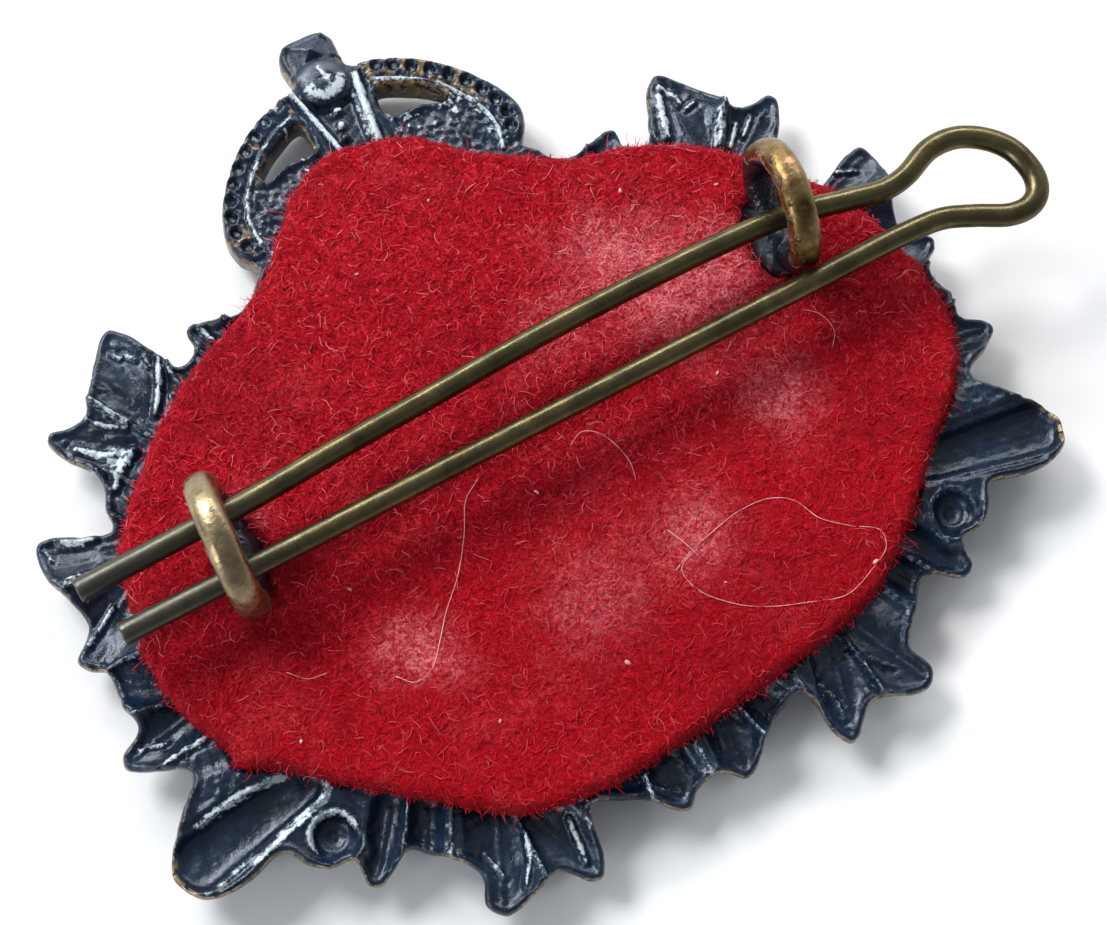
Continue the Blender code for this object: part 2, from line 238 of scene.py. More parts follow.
def spline(points, step, closed=True):
    """Centripetal Catmull-Rom through given points, about `step` apart."""
    pts = [np.array(p, float) for p in points]
    n = len(pts)
    out = []
    last = n if closed else n - 1
    for i in range(last):
        if closed:
            p0, p1, p2, p3 = pts[i - 1], pts[i], pts[(i + 1) % n], pts[(i + 2) % n]
        else:
            p1, p2 = pts[i], pts[i + 1]
            p0 = pts[i - 1] if i else 2 * p1 - p2
            p3 = pts[i + 2] if i + 2 < n else 2 * p2 - p1
        t1 = max(np.linalg.norm(p1 - p0), 1e-6) ** 0.5
        t2 = t1 + max(np.linalg.norm(p2 - p1), 1e-6) ** 0.5
        t3 = t2 + max(np.linalg.norm(p3 - p2), 1e-6) ** 0.5
        count = max(1, int(math.ceil(np.linalg.norm(p2 - p1) / step)))
        for s in range(count):
            t = t1 + (t2 - t1) * s / count
            a1 = (t1 - t) / t1 * p0 + t / t1 * p1
            a2 = (t2 - t) / (t2 - t1) * p1 + (t - t1) / (t2 - t1) * p2
            a3 = (t3 - t) / (t3 - t2) * p2 + (t - t2) / (t3 - t2) * p3
            b1 = (t2 - t) / t2 * a1 + t / t2 * a2
            b2 = (t3 - t) / (t3 - t1) * a2 + (t - t1) / (t3 - t1) * a3
            out.append((t2 - t) / (t2 - t1) * b1 + (t - t1) / (t2 - t1) * b2)
    if not closed:
        out.append(pts[-1])
    return [tuple(float(c) for c in p) for p in out]


def mirrored(half):
    left = [(-x, y) for x, y in half[1:-1]]
    return [half[0]] + left + [half[-1]] + [p for p in reversed(half[1:-1])]


def ellipse_arc(ax, ay, start, sweep, count):
    return [(ax * math.cos(math.radians(start + sweep * i / (count - 1))),
             FIELD_Y + ay * math.sin(math.radians(start + sweep * i / (count - 1))))
            for i in range(count)]


def ccw(loop):
    a = sum(p[0] * q[1] - q[0] * p[1] for p, q in zip(loop, loop[1:] + loop[:1]))
    return loop if a > 0 else loop[::-1]


# ----------------------------------------------------------------- meshes ---
def new_object(name, verts, faces, attributes=()):
    mesh = bpy.data.meshes.new(name)
    mesh.from_pydata([tuple(v) for v in np.asarray(verts).tolist()], [], faces)
    mesh.validate(verbose=False)
    mesh.update()
    for key, values in dict(attributes).items():
        layer = mesh.attributes.new(key, "FLOAT", "POINT")
        layer.data.foreach_set("value", np.asarray(values, np.float32))
    mesh.polygons.foreach_set("use_smooth", [True] * len(mesh.polygons))
    ob = bpy.data.objects.new(name, mesh)
    bpy.context.scene.collection.objects.link(ob)
    return ob


def hex_grid(lo, hi, step, jitter, seed):
    r = np.random.default_rng(seed)
    rows = int((hi[1] - lo[1]) / (step * 0.866)) + 2
    cols = int((hi[0] - lo[0]) / step) + 2
    j, i = np.mgrid[0:rows, 0:cols]
    x = lo[0] + (i + 0.5 * (j % 2)) * step
    y = lo[1] + j * step * 0.866
    x = x + r.uniform(-jitter, jitter, x.shape) * step
    y = y + r.uniform(-jitter, jitter, y.shape) * step
    return x.ravel(), y.ravel()


def fill(loops, px, py):
    """Triangles inside loops[0] and outside the rest, through the given inner points."""
    pts, edges, rings = [], [], []
    for loop in loops:
        start = len(pts)
        pts += [Vector(p) for p in loop]
        ring = list(range(start, start + len(loop)))
        rings.append(ring)
        edges += list(zip(ring, ring[1:] + ring[:1]))
    pts += [Vector((a, b)) for a, b in zip(px.tolist(), py.tolist())]
    verts, _, tris, orig, _, _ = delaunay_2d_cdt(pts, edges, [], 0, 1e-7)
    xy = np.array([tuple(v) for v in verts])
    tri = np.array(tris)
    c = xy[tri].mean(axis=1)
    keep = inside(c[:, 0], c[:, 1], loops[0])
    for hole in loops[1:]:
        keep &= ~inside(c[:, 0], c[:, 1], hole)
    tri = tri[keep]
    a, b, d = xy[tri[:, 0]], xy[tri[:, 1]], xy[tri[:, 2]]
    flip = ((b - a)[:, 0] * (d - a)[:, 1] - (b - a)[:, 1] * (d - a)[:, 0]) < 0
    tri[flip] = tri[flip][:, ::-1]
    return xy, tri


def shell(name, xy, tri, top, low, attributes):
    """Closed shell between two height fields over the same triangles."""
    n = len(xy)
    used = np.zeros(n, bool)
    used[tri.ravel()] = True
    index = np.cumsum(used) - 1
    xy, top, low = xy[used], top[used], low[used]
    tri = index[tri]
    m = len(xy)
    verts = np.zeros((2 * m, 3))
    verts[:m, 0] = verts[m:, 0] = xy[:, 0] * MM
    verts[:m, 1] = verts[m:, 1] = (xy[:, 1] - FIELD_Y) * MM
    verts[:m, 2], verts[m:, 2] = top * MM, low * MM
    faces = tri.tolist() + (tri[:, ::-1] + m).tolist()
    count = {}
    for a, b, c in tri.tolist():
        for p, q in ((a, b), (b, c), (c, a)):
            if (q, p) in count:
                del count[(q, p)]
            else:
                count[(p, q)] = True
    faces += [[q, p, p + m, q + m] for p, q in count]
    both = {k: np.concatenate([v[used], v[used]]) for k, v in attributes.items()}
    return new_object(name, verts, faces, both)


def inner_ring(loops, offset):
    """Points just inside every boundary loop."""
    out = []
    for k, loop in enumerate(loops):
        pts = np.array(ccw(loop))
        tangent = np.roll(pts, -1, 0) - np.roll(pts, 1, 0)
        tangent /= np.linalg.norm(tangent, axis=1)[:, None] + 1e-12
        normal = np.stack([-tangent[:, 1], tangent[:, 0]], 1)
        out.append(pts + normal * offset * (1 if k == 0 else -1))
    return np.concatenate(out)


def slab_points(loops, step, jitter, seed, keep=None):
    arr = np.array(loops[0])
    x, y = hex_grid(arr.min(0) - 0.2, arr.max(0) + 0.2, step, jitter, seed)
    ok = inside(x, y, loops[0])
    if keep is not None:
        ok &= keep(x, y)
    x, y = x[ok], y[ok]
    for hole in loops[1:]:
        ok = ~inside(x, y, hole)
        x, y = x[ok], y[ok]
    return x, y


# ------------------------------------------------------------------ plate ---
outline = spline(mirrored(CROWN_HALF + WREATH_HALF + RIBBON_HALF + FOOT_HALF), 0.11)
outline = ccw(outline)
_o = np.array(outline)
_o[:, 0] += 0.05 * fbm(_o[:, 0], _o[:, 1], 0.9, 2, 41)
_o[:, 1] += 0.05 * fbm(_o[:, 0] + 50, _o[:, 1], 0.9, 2, 43)
outline = [tuple(p) for p in _o.tolist()]
voids = [spline(CROWN_VOID, 0.12), spline([(-x, y) for x, y in reversed(CROWN_VOID)], 0.12)]
slots = []
for centre in (45.0, 135.0, 225.0, 315.0):
    outer_arc = ellipse_arc(12.5, 10.4, centre - 30, 60, 26)
    inner_arc = ellipse_arc(9.8, 7.8, centre + 30, -60, 26)
    slots.append(outer_arc + inner_arc)
plate_loops = [outline] + voids + slots
felt_core = ccw(spline(FELT_OUTLINE, 0.4))


def felt_edge(x, y):
    """Distance inside the felt's cut edge, negative outside."""
    d = line_dist(x, y, felt_core, closed=True)
    return np.where(inside(x, y, felt_core), d, -d)


_gx, _gy = slab_points(plate_loops, 0.125, 0.22, 3)
_fe = felt_edge(_gx, _gy)
_near = _fe < 0.9
_gx, _gy = _gx[_near], _gy[_near]
_cx, _cy = slab_points(plate_loops, 0.5, 0.12, 5)
_deep = felt_edge(_cx, _cy) >= 0.9
_gx, _gy = np.concatenate([_gx, _cx[_deep]]), np.concatenate([_gy, _cy[_deep]])
_bd = np.minimum.reduce([line_dist(_gx, _gy, loop, closed=True) for loop in plate_loops])
_gx, _gy = _gx[_bd > 0.17], _gy[_bd > 0.17]
for _off in (0.045, 0.11):
    _r = inner_ring(plate_loops, _off)
    _d = np.minimum.reduce([line_dist(_r[:, 0], _r[:, 1], loop, closed=True) for loop in plate_loops])
    _r = _r[_d > 0.92 * _off]
    _gx, _gy = np.concatenate([_gx, _r[:, 0]]), np.concatenate([_gy, _r[:, 1]])
plate_xy, plate_tri = fill(plate_loops, _gx, _gy)
X, Y = plate_xy[:, 0], plate_xy[:, 1]
EDGE = np.minimum.reduce([line_dist(X, Y, loop, closed=True) for loop in plate_loops])
EDGE_OUT = line_dist(X, Y, outline, closed=True)
FE = felt_edge(X, Y)


def leaf_relief(x, y):
    """Hollow lobes between raised creases, with veins running out from each root."""
    lobes = LOBES + [((-a[0], a[1]), (-b[0], b[1]), w) for a, b, w in LOBES]
    best = np.full(x.shape, 1e9)
    second = np.full(x.shape, 1e9)
    width = np.ones(x.shape)
    ang, rad, real = np.zeros(x.shape), np.zeros(x.shape), np.zeros(x.shape)
    key = np.zeros(x.shape)
    for k, (a, b, w) in enumerate(lobes):
        d, t, side = seg_dist(x, y, a, b)
        scaled = d / w
        nearer = scaled < best
        second = np.where(nearer, best, np.minimum(second, scaled))
        best = np.where(nearer, scaled, best)
        width = np.where(nearer, w, width)
        real = np.where(nearer, d, real)
        turn = math.atan2(b[1] - a[1], b[0] - a[0])
        th = np.arctan2(y - a[1], x - a[0]) - turn
        th = (th + math.pi) % (2 * math.pi) - math.pi
        ang = np.where(nearer, th, ang)
        rad = np.where(nearer, np.hypot(x - a[0], y - a[1]), rad)
        key = np.where(nearer, float(k), key)
    bowl = -0.42 * (1.0 - np.minimum(best, 1.25) ** 2.6)
    gap = (second - best)
    crease = np.exp(-(gap / 0.17) ** 2) * smooth(best, 0.25, 0.6)
    vein = np.exp(-(real / 0.075) ** 2)
    ray = value_noise(ang * 5.5 + key * 7.7, rad * 0.55 + key * 3.1, 61)
    ray2 = value_noise(ang * 12.0 + key * 5.7, rad * 0.9 + key * 1.1, 67)
    rays = (1 - np.abs(ray) * 2.4) * 0.6 + (1 - np.abs(ray2) * 2.4) * 0.4
    rays = np.clip(rays, -1, 1) * smooth(rad, 0.3, 1.2)
    herring = np.sin((rad - 1.1 * real) * 2 * math.pi / 0.62 + 2.0 * fbm(x, y, 1.2, 2, 71))
    herring *= smooth(best, 0.15, 0.5) * (1 - smooth(best, 0.9, 1.2))
    h = bowl + 0.40 * crease + 0.10 * vein + 0.060 * rays * smooth(best, 0.1, 0.5) + 0.006 * herring
    h += 0.030 * ridged(x, y, 1.3, 2, 81) - 0.02
    # Painted highlight along the creases, veins and radiating rays.
    painted_highlight = np.clip(crease * 1.0 + 0.55 * vein + 0.8 * np.clip(rays, 0, 1) * smooth(best, 0.5, 0.95), 0, 1)
    return h, painted_highlight


def crown_relief(x, y, edge):
    h = np.full(x.shape, -0.12)
    painted_highlight = np.zeros(x.shape)
    brass = np.zeros(x.shape)
    # stippled cap inside the arches, with painted highlight flecks
    arch = np.minimum(*(line_dist(x, y, line) for line in ARCH_RIDGES))
    cap_in = (np.abs(x) < 6.4) & (y < 28.9)
    stipple = fbm(x, y, 0.22, 3, 91)
    cap = np.where(cap_in & (arch > 0.2) & (edge > 1.1), 1.0, 0.0)
    h += cap * (0.10 + 0.13 * stipple)
    painted_highlight += cap * np.clip(stipple * 3.2 - 0.35, 0, 1) * smooth(fbm(x, y, 1.3, 2, 95), -0.35, 0.4)
    # inner ridge of each arch, with a painted highlight along it
    r = np.exp(-(arch / 0.13) ** 2)
    h += 0.36 * r
    painted_highlight += 0.95 * r * (0.35 + 0.65 * smooth(fbm(x, y, 0.75, 3, 93), -0.55, 0.05))
    # pearls struck into the arch, with a painted highlight on each lip and bead
    pearl = np.full(x.shape, 1e9)
    for px, py in PEARLS:
        pearl = np.minimum(pearl, np.hypot(x - px, y - py))
    outer = (edge < 1.25) & (arch > 0.24) & (y > 23.0)
    on_arch = np.where(outer & (np.abs(x) > 1.9), 1.0, 0.0)
    cup = np.exp(-(pearl / 0.25) ** 4)
    lip = np.exp(-((pearl - 0.36) / 0.09) ** 2)
    bead = np.exp(-(pearl / 0.165) ** 3)
    h += on_arch * (0.16 - 0.46 * cup + 0.12 * lip + 0.26 * bead)
    painted_highlight += on_arch * (0.35 * lip * smooth(fbm(x, y, 0.5, 2, 97), -0.3, 0.4)
                         + 1.0 * bead * smooth(fbm(x, y, 0.45, 2, 98), -0.45, 0.1))
    brass += on_arch * smooth(pearl, 0.34, 0.42) * smooth(x, 1.5, 2.6) * smooth(fbm(x, y, 1.1, 2, 99), -0.45, 0.1) * smooth(-x, -6.9, -6.2)
    brass += on_arch * smooth(pearl, 0.36, 0.46) * smooth(-x, 1.5, 2.6) * smooth(fbm(x, y, 0.9, 2, 103), 0.2, 0.5)
    # bare band between the right ridge and its opening
    void_d = np.minimum(*(line_dist(x, y, v, closed=True) for v in voids))
    above = smooth(y + 0.60 * (np.abs(x) - 2.15) - 28.5, -0.12, 0.0)
    band = above * smooth(arch, 0.11, 0.17) * (np.abs(x) < 6.4) * (np.abs(x) > 2.1) * smooth(-np.abs(x), -6.3, -5.6) * smooth(-void_d, -0.56, -0.46)
    brass += band * (x > 0) * (arch < 0.9) + 0.7 * band * (x < -3.4) * (arch < 0.7) * smooth(fbm(x, y, 0.8, 2, 105), -0.3, 0.2)
    h += 0.10 * np.exp(-((void_d - 0.14) / 0.09) ** 2)
    # middle band with two heavy ridges and three beads, painted highlights on both
    mid = np.where((np.abs(x) < 2.0) & (y < 30.4), 1.0, 0.0)
    left, _, _ = seg_dist(x, y, (-1.72, 30.0), (-0.95, 26.2))
    right, _, _ = seg_dist(x, y, (1.5, 29.7), (0.95, 26.0))
    right2, _, _ = seg_dist(x, y, (0.95, 28.9), (0.62, 26.4))
    heavy = np.exp(-(left / 0.24) ** 2) + np.exp(-(right / 0.30) ** 2)
    h = h * (1 - mid) + mid * (-0.22 + 0.50 * heavy + 0.16 * np.exp(-(right2 / 0.12) ** 2)
                               + 0.04 * fbm(x, y, 0.4, 2, 107))
    painted_highlight = painted_highlight * (1 - mid) + mid * (1.1 * np.exp(-(left / 0.17) ** 2) + 1.3 * np.exp(-(right / 0.22) ** 2)
                                         + 0.6 * np.exp(-(right2 / 0.1) ** 2))
    for bx, by, br in ((-0.1, 28.35, 0.30), (-0.3, 27.55, 0.28), (-0.42, 26.85, 0.28)):
        d = np.hypot(x - bx, y - by)
        h += 0.30 * np.sqrt(np.clip(1 - (d / br) ** 2, 0, 1))
        painted_highlight += 1.1 * smooth(-d, -br, -0.10) * smooth(fbm(x, y, 0.3, 2, 115), -0.6, 0.1)
    # orb: a round boss with a cross pressed in; painted highlights on the cross and a curved painted reflection
    # below it
    ox, oy = x + 0.02, y - 30.05
    rr = np.hypot(ox, oy)
    boss = np.sqrt(np.clip(1 - (rr / 1.42) ** 2, 0, 1))
    on = rr < 1.42
    h = np.where(on, -0.10 + 0.62 * boss, h)
    cross = np.exp(-((ox - 0.12 + 0.16 * oy) / 0.10) ** 2) * smooth(oy, -0.55, -0.3) * smooth(-oy, -0.95, -0.7)
    cross += 0.9 * np.exp(-((oy + 0.05) / 0.08) ** 2) * smooth(-np.abs(ox - 0.05), -0.50, -0.25)
    reach = rr * np.clip(1.0 + 0.10 * fbm(x, y, 0.5, 2, 108), 0.8, 1.2)
    smile = np.exp(-((reach - 0.86) / 0.30) ** 2) * smooth(-oy, -0.15, 0.20)
    h = np.where(on, h - 0.07 * cross, h)
    painted_highlight = np.where(on, 0.95 * cross + 1.1 * smile * smooth(fbm(x, y, 0.30, 2, 109), -0.95, -0.15), painted_highlight)
    brass = np.where(on, 0.0, brass)
    groove = np.exp(-((rr - 1.5) / 0.10) ** 2)
    h -= 0.16 * groove
    # block on top: four facets meeting in a cross of creases, painted highlights on the creases and scratches
    block = np.where(y > 31.15, 1.0, 0.0) * (np.abs(x) < 1.6)
    u, v = (x - 0.1) / 1.15, (y - 31.75) / 1.0
    facet = np.maximum(np.abs(u), np.abs(v))
    diag = np.exp(-((np.abs(u) - np.abs(v)) / 0.07) ** 2)
    scratch = ridged(x * 0.5 + y, x - y * 0.5, 0.5, 2, 111)
    h = h * (1 - block) + block * (0.40 - 0.62 * facet + 0.07 * diag + 0.015 * scratch)
    painted_highlight = painted_highlight * (1 - block) + block * (0.42 * diag * smooth(fbm(x, y, 0.5, 2, 113), -0.5, 0.2)
                                             + 0.25 * smooth(scratch, 0.80, 0.97))
    brass = brass * (1 - block)
    return h, np.clip(painted_highlight, 0, 1), np.clip(brass, 0, 1)


def ribbon_relief(x, y):
    ax = np.abs(x)
    d, t, side = seg_dist(ax, y, (16.4, -0.75), (21.9, -1.75))
    wide = 1.05 + 0.30 * t
    bowl = -0.40 * (1 - np.minimum(d / wide, 1.3) ** 3)
    lip = np.exp(-((d - wide) / 0.19) ** 2)
    ripple = np.sin(d * 2 * math.pi / 0.34 + 1.5 * fbm(x, y, 1.5, 2, 122))
    h = bowl + 0.34 * lip + 0.050 * fbm(x, y, 0.9, 3, 121) + 0.020 * fbm(x, y, 0.32, 2, 124)
    h += 0.008 * ripple * smooth(wide - d, 0.2, 0.5) * smooth(x, -1.0, 1.0)
    strip = smooth(d - wide, 0.2, 0.4) * smooth(y, -1.0, -0.3)
    h += strip * (0.05 + 0.11 * fbm(x, y, 0.25, 3, 123))
    # Painted highlight on the lip and on the textured strip.
    painted_highlight = 0.75 * lip * smooth(fbm(x, y, 0.9, 2, 125), -0.45, 0.3) + 0.25 * strip * smooth(fbm(x, y, 0.25, 2, 127), 0.2, 0.5)
    # Two ridge lines, raised, each with a painted highlight.
    for line, half in ([(-20.7, -0.12), (-19.0, 0.12), (-16.9, -0.05)], 0.17), ([(-19.8, -2.95), (-18.0, -2.4), (-16.4, -2.15)], 0.15):
        k = line_dist(x, y, line) + 0.05 * fbm(x, y, 0.4, 2, 129)
        h += 0.10 * np.exp(-(k / half) ** 2)
        painted_highlight = np.maximum(painted_highlight, 0.95 * np.exp(-(k / half) ** 2))
    cx, cy = ax - 16.15, y + 3.45
    rc = np.hypot(cx, cy)
    on = rc < 1.32
    curl = -0.42 * (1 - np.minimum(rc / 1.0, 1.3) ** 2) + 0.40 * np.exp(-((rc - 1.08) / 0.15) ** 2) * smooth(cy, -0.8, 0.1)
    curl += 0.035 * np.cos(rc * 2 * math.pi / 0.42) * smooth(-rc, -0.95, -0.7)
    h = np.where(on, curl, h)
    # Painted highlight on the curl's crest, and a painted glint near its centre.
    painted_highlight = np.where(on, 0.95 * np.exp(-((rc - 1.05) / 0.16) ** 2) * smooth(cy, -0.7, 0.2)
                      + 0.6 * np.exp(-(np.hypot(cx + 0.15, (cy + 0.35) * 0.6) / 0.12) ** 2), painted_highlight)
    return h, np.clip(painted_highlight, 0, 1)


leaf_h, leaf_b = leaf_relief(X, Y)
leaf_b *= 0.55
for _pts, _half, _rise, _painted_gleam in CREASES:
    _wob = 0.05 * fbm(X, Y, 0.35, 2, 161)
    _d = line_dist(X, Y, _pts) + _wob
    _k = np.exp(-(_d / _half) ** 2)
    leaf_h += _rise * _k - 0.10 * np.exp(-((_d - 1.9 * _half) / (0.6 * _half)) ** 2)
    _run = np.hypot(X - 0.5 * (_pts[0][0] + _pts[-1][0]), Y - 0.5 * (_pts[0][1] + _pts[-1][1]))
    _run = _run / (0.5 * math.dist(_pts[0], _pts[-1]) + 0.05)
    _taper = np.clip(1.15 - 0.55 * _run ** 2, 0.15, 1.0) * (1 + 0.35 * fbm(X, Y, 0.5, 2, 165))
    leaf_b = np.maximum(leaf_b, _painted_gleam * np.exp(-(_d / (0.95 * _half * _taper)) ** 2))
crown_h, crown_b, crown_m = crown_relief(X, Y, EDGE_OUT)
rib_h, rib_b = ribbon_relief(X, Y)
w_crown = smooth(Y, 22.1, 22.7) * smooth(-np.abs(X), -8.9, -8.4)
w_rib = smooth(np.abs(X), 14.6, 15.2) * smooth(-Y, -1.9, -1.2) * smooth(Y, -5.2, -4.6)
height = leaf_h * (1 - w_rib) + rib_h * w_rib
painted_highlight = leaf_b * (1 - w_rib) + rib_b * w_rib
height = height * (1 - w_crown) + crown_h * w_crown
painted_highlight = painted_highlight * (1 - w_crown) + crown_b * w_crown
brass = crown_m * w_crown
# a raised, worn rim all round, then the edge rolls over
height = height + 0.13 * np.exp(-((EDGE - 0.22) / 0.13) ** 2)
height += 0.010 * fbm(X, Y, 0.28, 3, 131) + 0.05 * fbm(X, Y, 3.0, 2, 133)
roll = np.clip(1 - EDGE / 0.20, 0, 1)
height -= 0.20 * (1 - np.sqrt(np.clip(1 - roll ** 2, 0, 1)))
# Painted shade: the painted highlights are dimmed toward the lower right.
shade = 1 - 0.62 * smooth(X + 0.35 * Y, 2.0, 9.0) * smooth(-Y, -9.0, -1.0)
painted_highlight *= shade
hide = smooth(FE, 0.15, 0.8)
top = BACK + height * (1 - hide) - 0.12 * (1 - hide)
top = np.where(FE > -0.1, np.minimum(top, 2.60), top)
wear_noise = fbm(X, Y, 1.6, 3, 141)
rim_wear = smooth(-EDGE, -0.12, -0.02) * smooth(wear_noise, -0.35, 0.10)
tip_wear = smooth(np.abs(X), 22.0, 22.9) * smooth(-Y, 0.4, 1.2) * smooth(-EDGE, -0.42, -0.05)
brass = np.clip(np.maximum.reduce([brass, rim_wear, tip_wear * (0.6 + 0.6 * wear_noise)]), 0, 1)
# Painted highlight along the raised rim, broken by the wear noise.
painted_highlight = np.clip(painted_highlight + 0.25 * np.exp(-((EDGE - 0.24) / 0.07) ** 2) * smooth(wear_noise, -0.1, 0.5), 0, 1)

# front: the struck design in the round, resting on its field, ribbon band and crown
field = smooth(-np.hypot(X / 9.0, (Y - FIELD_Y) / 7.2), -1.05, -0.99)
band_in = smooth(np.hypot(X / 13.1, (Y - FIELD_Y) / 10.9), 0.98, 1.02)
band_out = smooth(-np.hypot(X / 18.2, (Y - FIELD_Y) / 12.3), -1.02, -0.98)
low = 1.5 + 0.85 * np.minimum(height, 0.1)
low = np.minimum(low, top - 0.55)
low = low + (top - 0.42 - low) * smooth(-EDGE, -0.9, -0.1) * smooth(-FE, -0.2, 0.3)
low = low * (1 - field * 1.0)
band = band_in * band_out
low = low * (1 - band) + band * (0.10 + 0.06 * fbm(X, Y, 0.9, 2, 151))
low = np.where(w_crown > 0.5, 0.72 + 0.30 * (height - height.min()) * 0.3, low)
low += 0.22 * (1 - np.sqrt(np.clip(1 - np.clip(1 - EDGE / 0.25, 0, 1) ** 2, 0, 1)))
low = np.clip(low, 0.0, top - 0.25)
plate = shell("struck_plate", plate_xy, plate_tri, top, low,
              {"edge": EDGE, "painted_highlight": painted_highlight, "brass": brass})

# ------------------------------------------------------------------- felt ---
SLITS = {}
for lug, (centre, bore, turn, lean) in LUGS.items():
    fx = centre[0] + (LUG_Z - BACK - 0.7) * math.tan(math.radians(lean))
    a = math.radians(turn)
    SLITS[lug] = (fx, centre[1], a)


def oval(cx, cy, hx, hy, turn, count):
    out = []
    for i in range(count):
        t = 2 * math.pi * i / count
        u, v = hx * math.cos(t), hy * math.sin(t)
        out.append((cx + u * math.cos(turn) - v * math.sin(turn),
                    cy + u * math.sin(turn) + v * math.cos(turn)))
    return out


_f = np.array(ccw(spline(FELT_OUTLINE, 0.16)))
_f[:, 0] += 0.13 * fbm(_f[:, 0], _f[:, 1], 0.55, 3, 201)
_f[:, 1] += 0.13 * fbm(_f[:, 0] + 40, _f[:, 1], 0.55, 3, 203)
felt_loop = [tuple(p) for p in _f.tolist()]
slit_loops = [oval(fx - 0.45 * (lug == "lug_right"), fy - 0.35 * (lug == "lug_right"), 1.02, 2.15, a, 44)
              for lug, (fx, fy, a) in SLITS.items()]
felt_loops = [felt_loop] + slit_loops
_fx, _fy = slab_points(felt_loops, 0.21, 0.3, 7)
_bd = np.minimum.reduce([line_dist(_fx, _fy, loop, closed=True) for loop in felt_loops])
_fx, _fy = _fx[_bd > 0.2], _fy[_bd > 0.2]
_r = inner_ring(felt_loops, 0.09)
_d = np.minimum.reduce([line_dist(_r[:, 0], _r[:, 1], loop, closed=True) for loop in felt_loops])
_r = _r[_d > 0.08]
felt_xy, felt_tri = fill(felt_loops, np.concatenate([_fx, _r[:, 0]]), np.concatenate([_fy, _r[:, 1]]))


def spots(x, y, table):
    total = np.zeros(np.shape(x))
    for cx, cy, r, gain in table:
        total += gain * np.exp(-(((x - cx) ** 2 + (y - cy) ** 2) / r ** 2))
    return total


PINK = [(8.7, 13.6, 2.4, 0.9), (10.6, 11.4, 2.6, 0.8), (11.5, 4.8, 1.5, 1.0), (4.6, 0.9, 1.9, 0.75),
        (-9.1, 2.0, 1.6, 0.9), (-0.6, 0.7, 2.2, 0.5), (7.4, 15.5, 1.8, 0.6), (3.8, 12.8, 1.8, 0.5),
        (-2.6, 0.6, 1.4, 0.35), (12.6, 12.9, 1.5, 0.6), (-13.4, 11.4, 1.2, 0.3)]
DARK = [(-11.0, 17.5, 3.2, 0.55), (-12.0, 8.2, 1.8, 0.6), (-15.2, 6.8, 2.2, 0.5), (-1.3, 7.0, 2.2, 0.25),
        (-0.1, -2.2, 2.6, 0.3), (-0.8, 15.0, 3.0, 0.3), (-17.8, 9.4, 1.6, 0.5), (16.0, 2.2, 2.6, 0.35),
        (8.0, -3.6, 3.0, 0.35), (3.0, -5.4, 3.0, 0.35), (17.8, 9.0, 1.6, 0.3)]


def felt_top(x, y, edge):
    lump = 0.085 * fbm(x, y, 2.6, 2, 211) + 0.075 * fbm(x, y, 0.62, 3, 213) + 0.03 * fbm(x, y, 0.24, 2, 217)
    h = FELT_TOP - 0.04 + lump - 0.07 * spots(x, y, PINK)
    r = np.clip(1 - edge / 0.55, 0, 1)
    return h - 0.55 * (1 - np.sqrt(np.clip(1 - r ** 2, 0, 1)))


FX, FY = felt_xy[:, 0], felt_xy[:, 1]
F_EDGE = np.minimum.reduce([line_dist(FX, FY, loop, closed=True) for loop in felt_loops])
f_top = felt_top(FX, FY, F_EDGE)
f_low = FELT_LOW - 0.02 + 0.12 * (1 - np.sqrt(np.clip(1 - np.clip(1 - F_EDGE / 0.2, 0, 1) ** 2, 0, 1)))
worn = spots(FX + 0.9 * fbm(FX, FY, 1.6, 3, 219), FY + 0.9 * fbm(FX, FY, 1.6, 3, 220), PINK)
worn = np.clip(worn * (1 + 0.45 * fbm(FX, FY, 0.8, 3, 222)) + 0.12 * fbm(FX, FY, 2.2, 3, 221), 0, 1)
# Darker patches from the DARK table and broad noise, plus painted shade along the rolled cut edge.
dark_patches_edge_shade = np.clip(spots(FX, FY, DARK) + 0.15 * fbm(FX, FY, 3.2, 3, 223) + 0.5 * smooth(-F_EDGE, -0.8, -0.1), 0, 1)
felt = shell("felt_sheet", felt_xy, felt_tri, f_top, f_low, {"worn": worn, "dark_patches_edge_shade": dark_patches_edge_shade})

# flat size of the cut sheet
_fa = np.array(felt_loop)
felt_area = 0.5 * abs(np.sum(_fa[:, 0] * np.roll(_fa[:, 1], -1) - np.roll(_fa[:, 0], -1) * _fa[:, 1]))
felt_area -= 2 * math.pi * 1.02 * 2.15


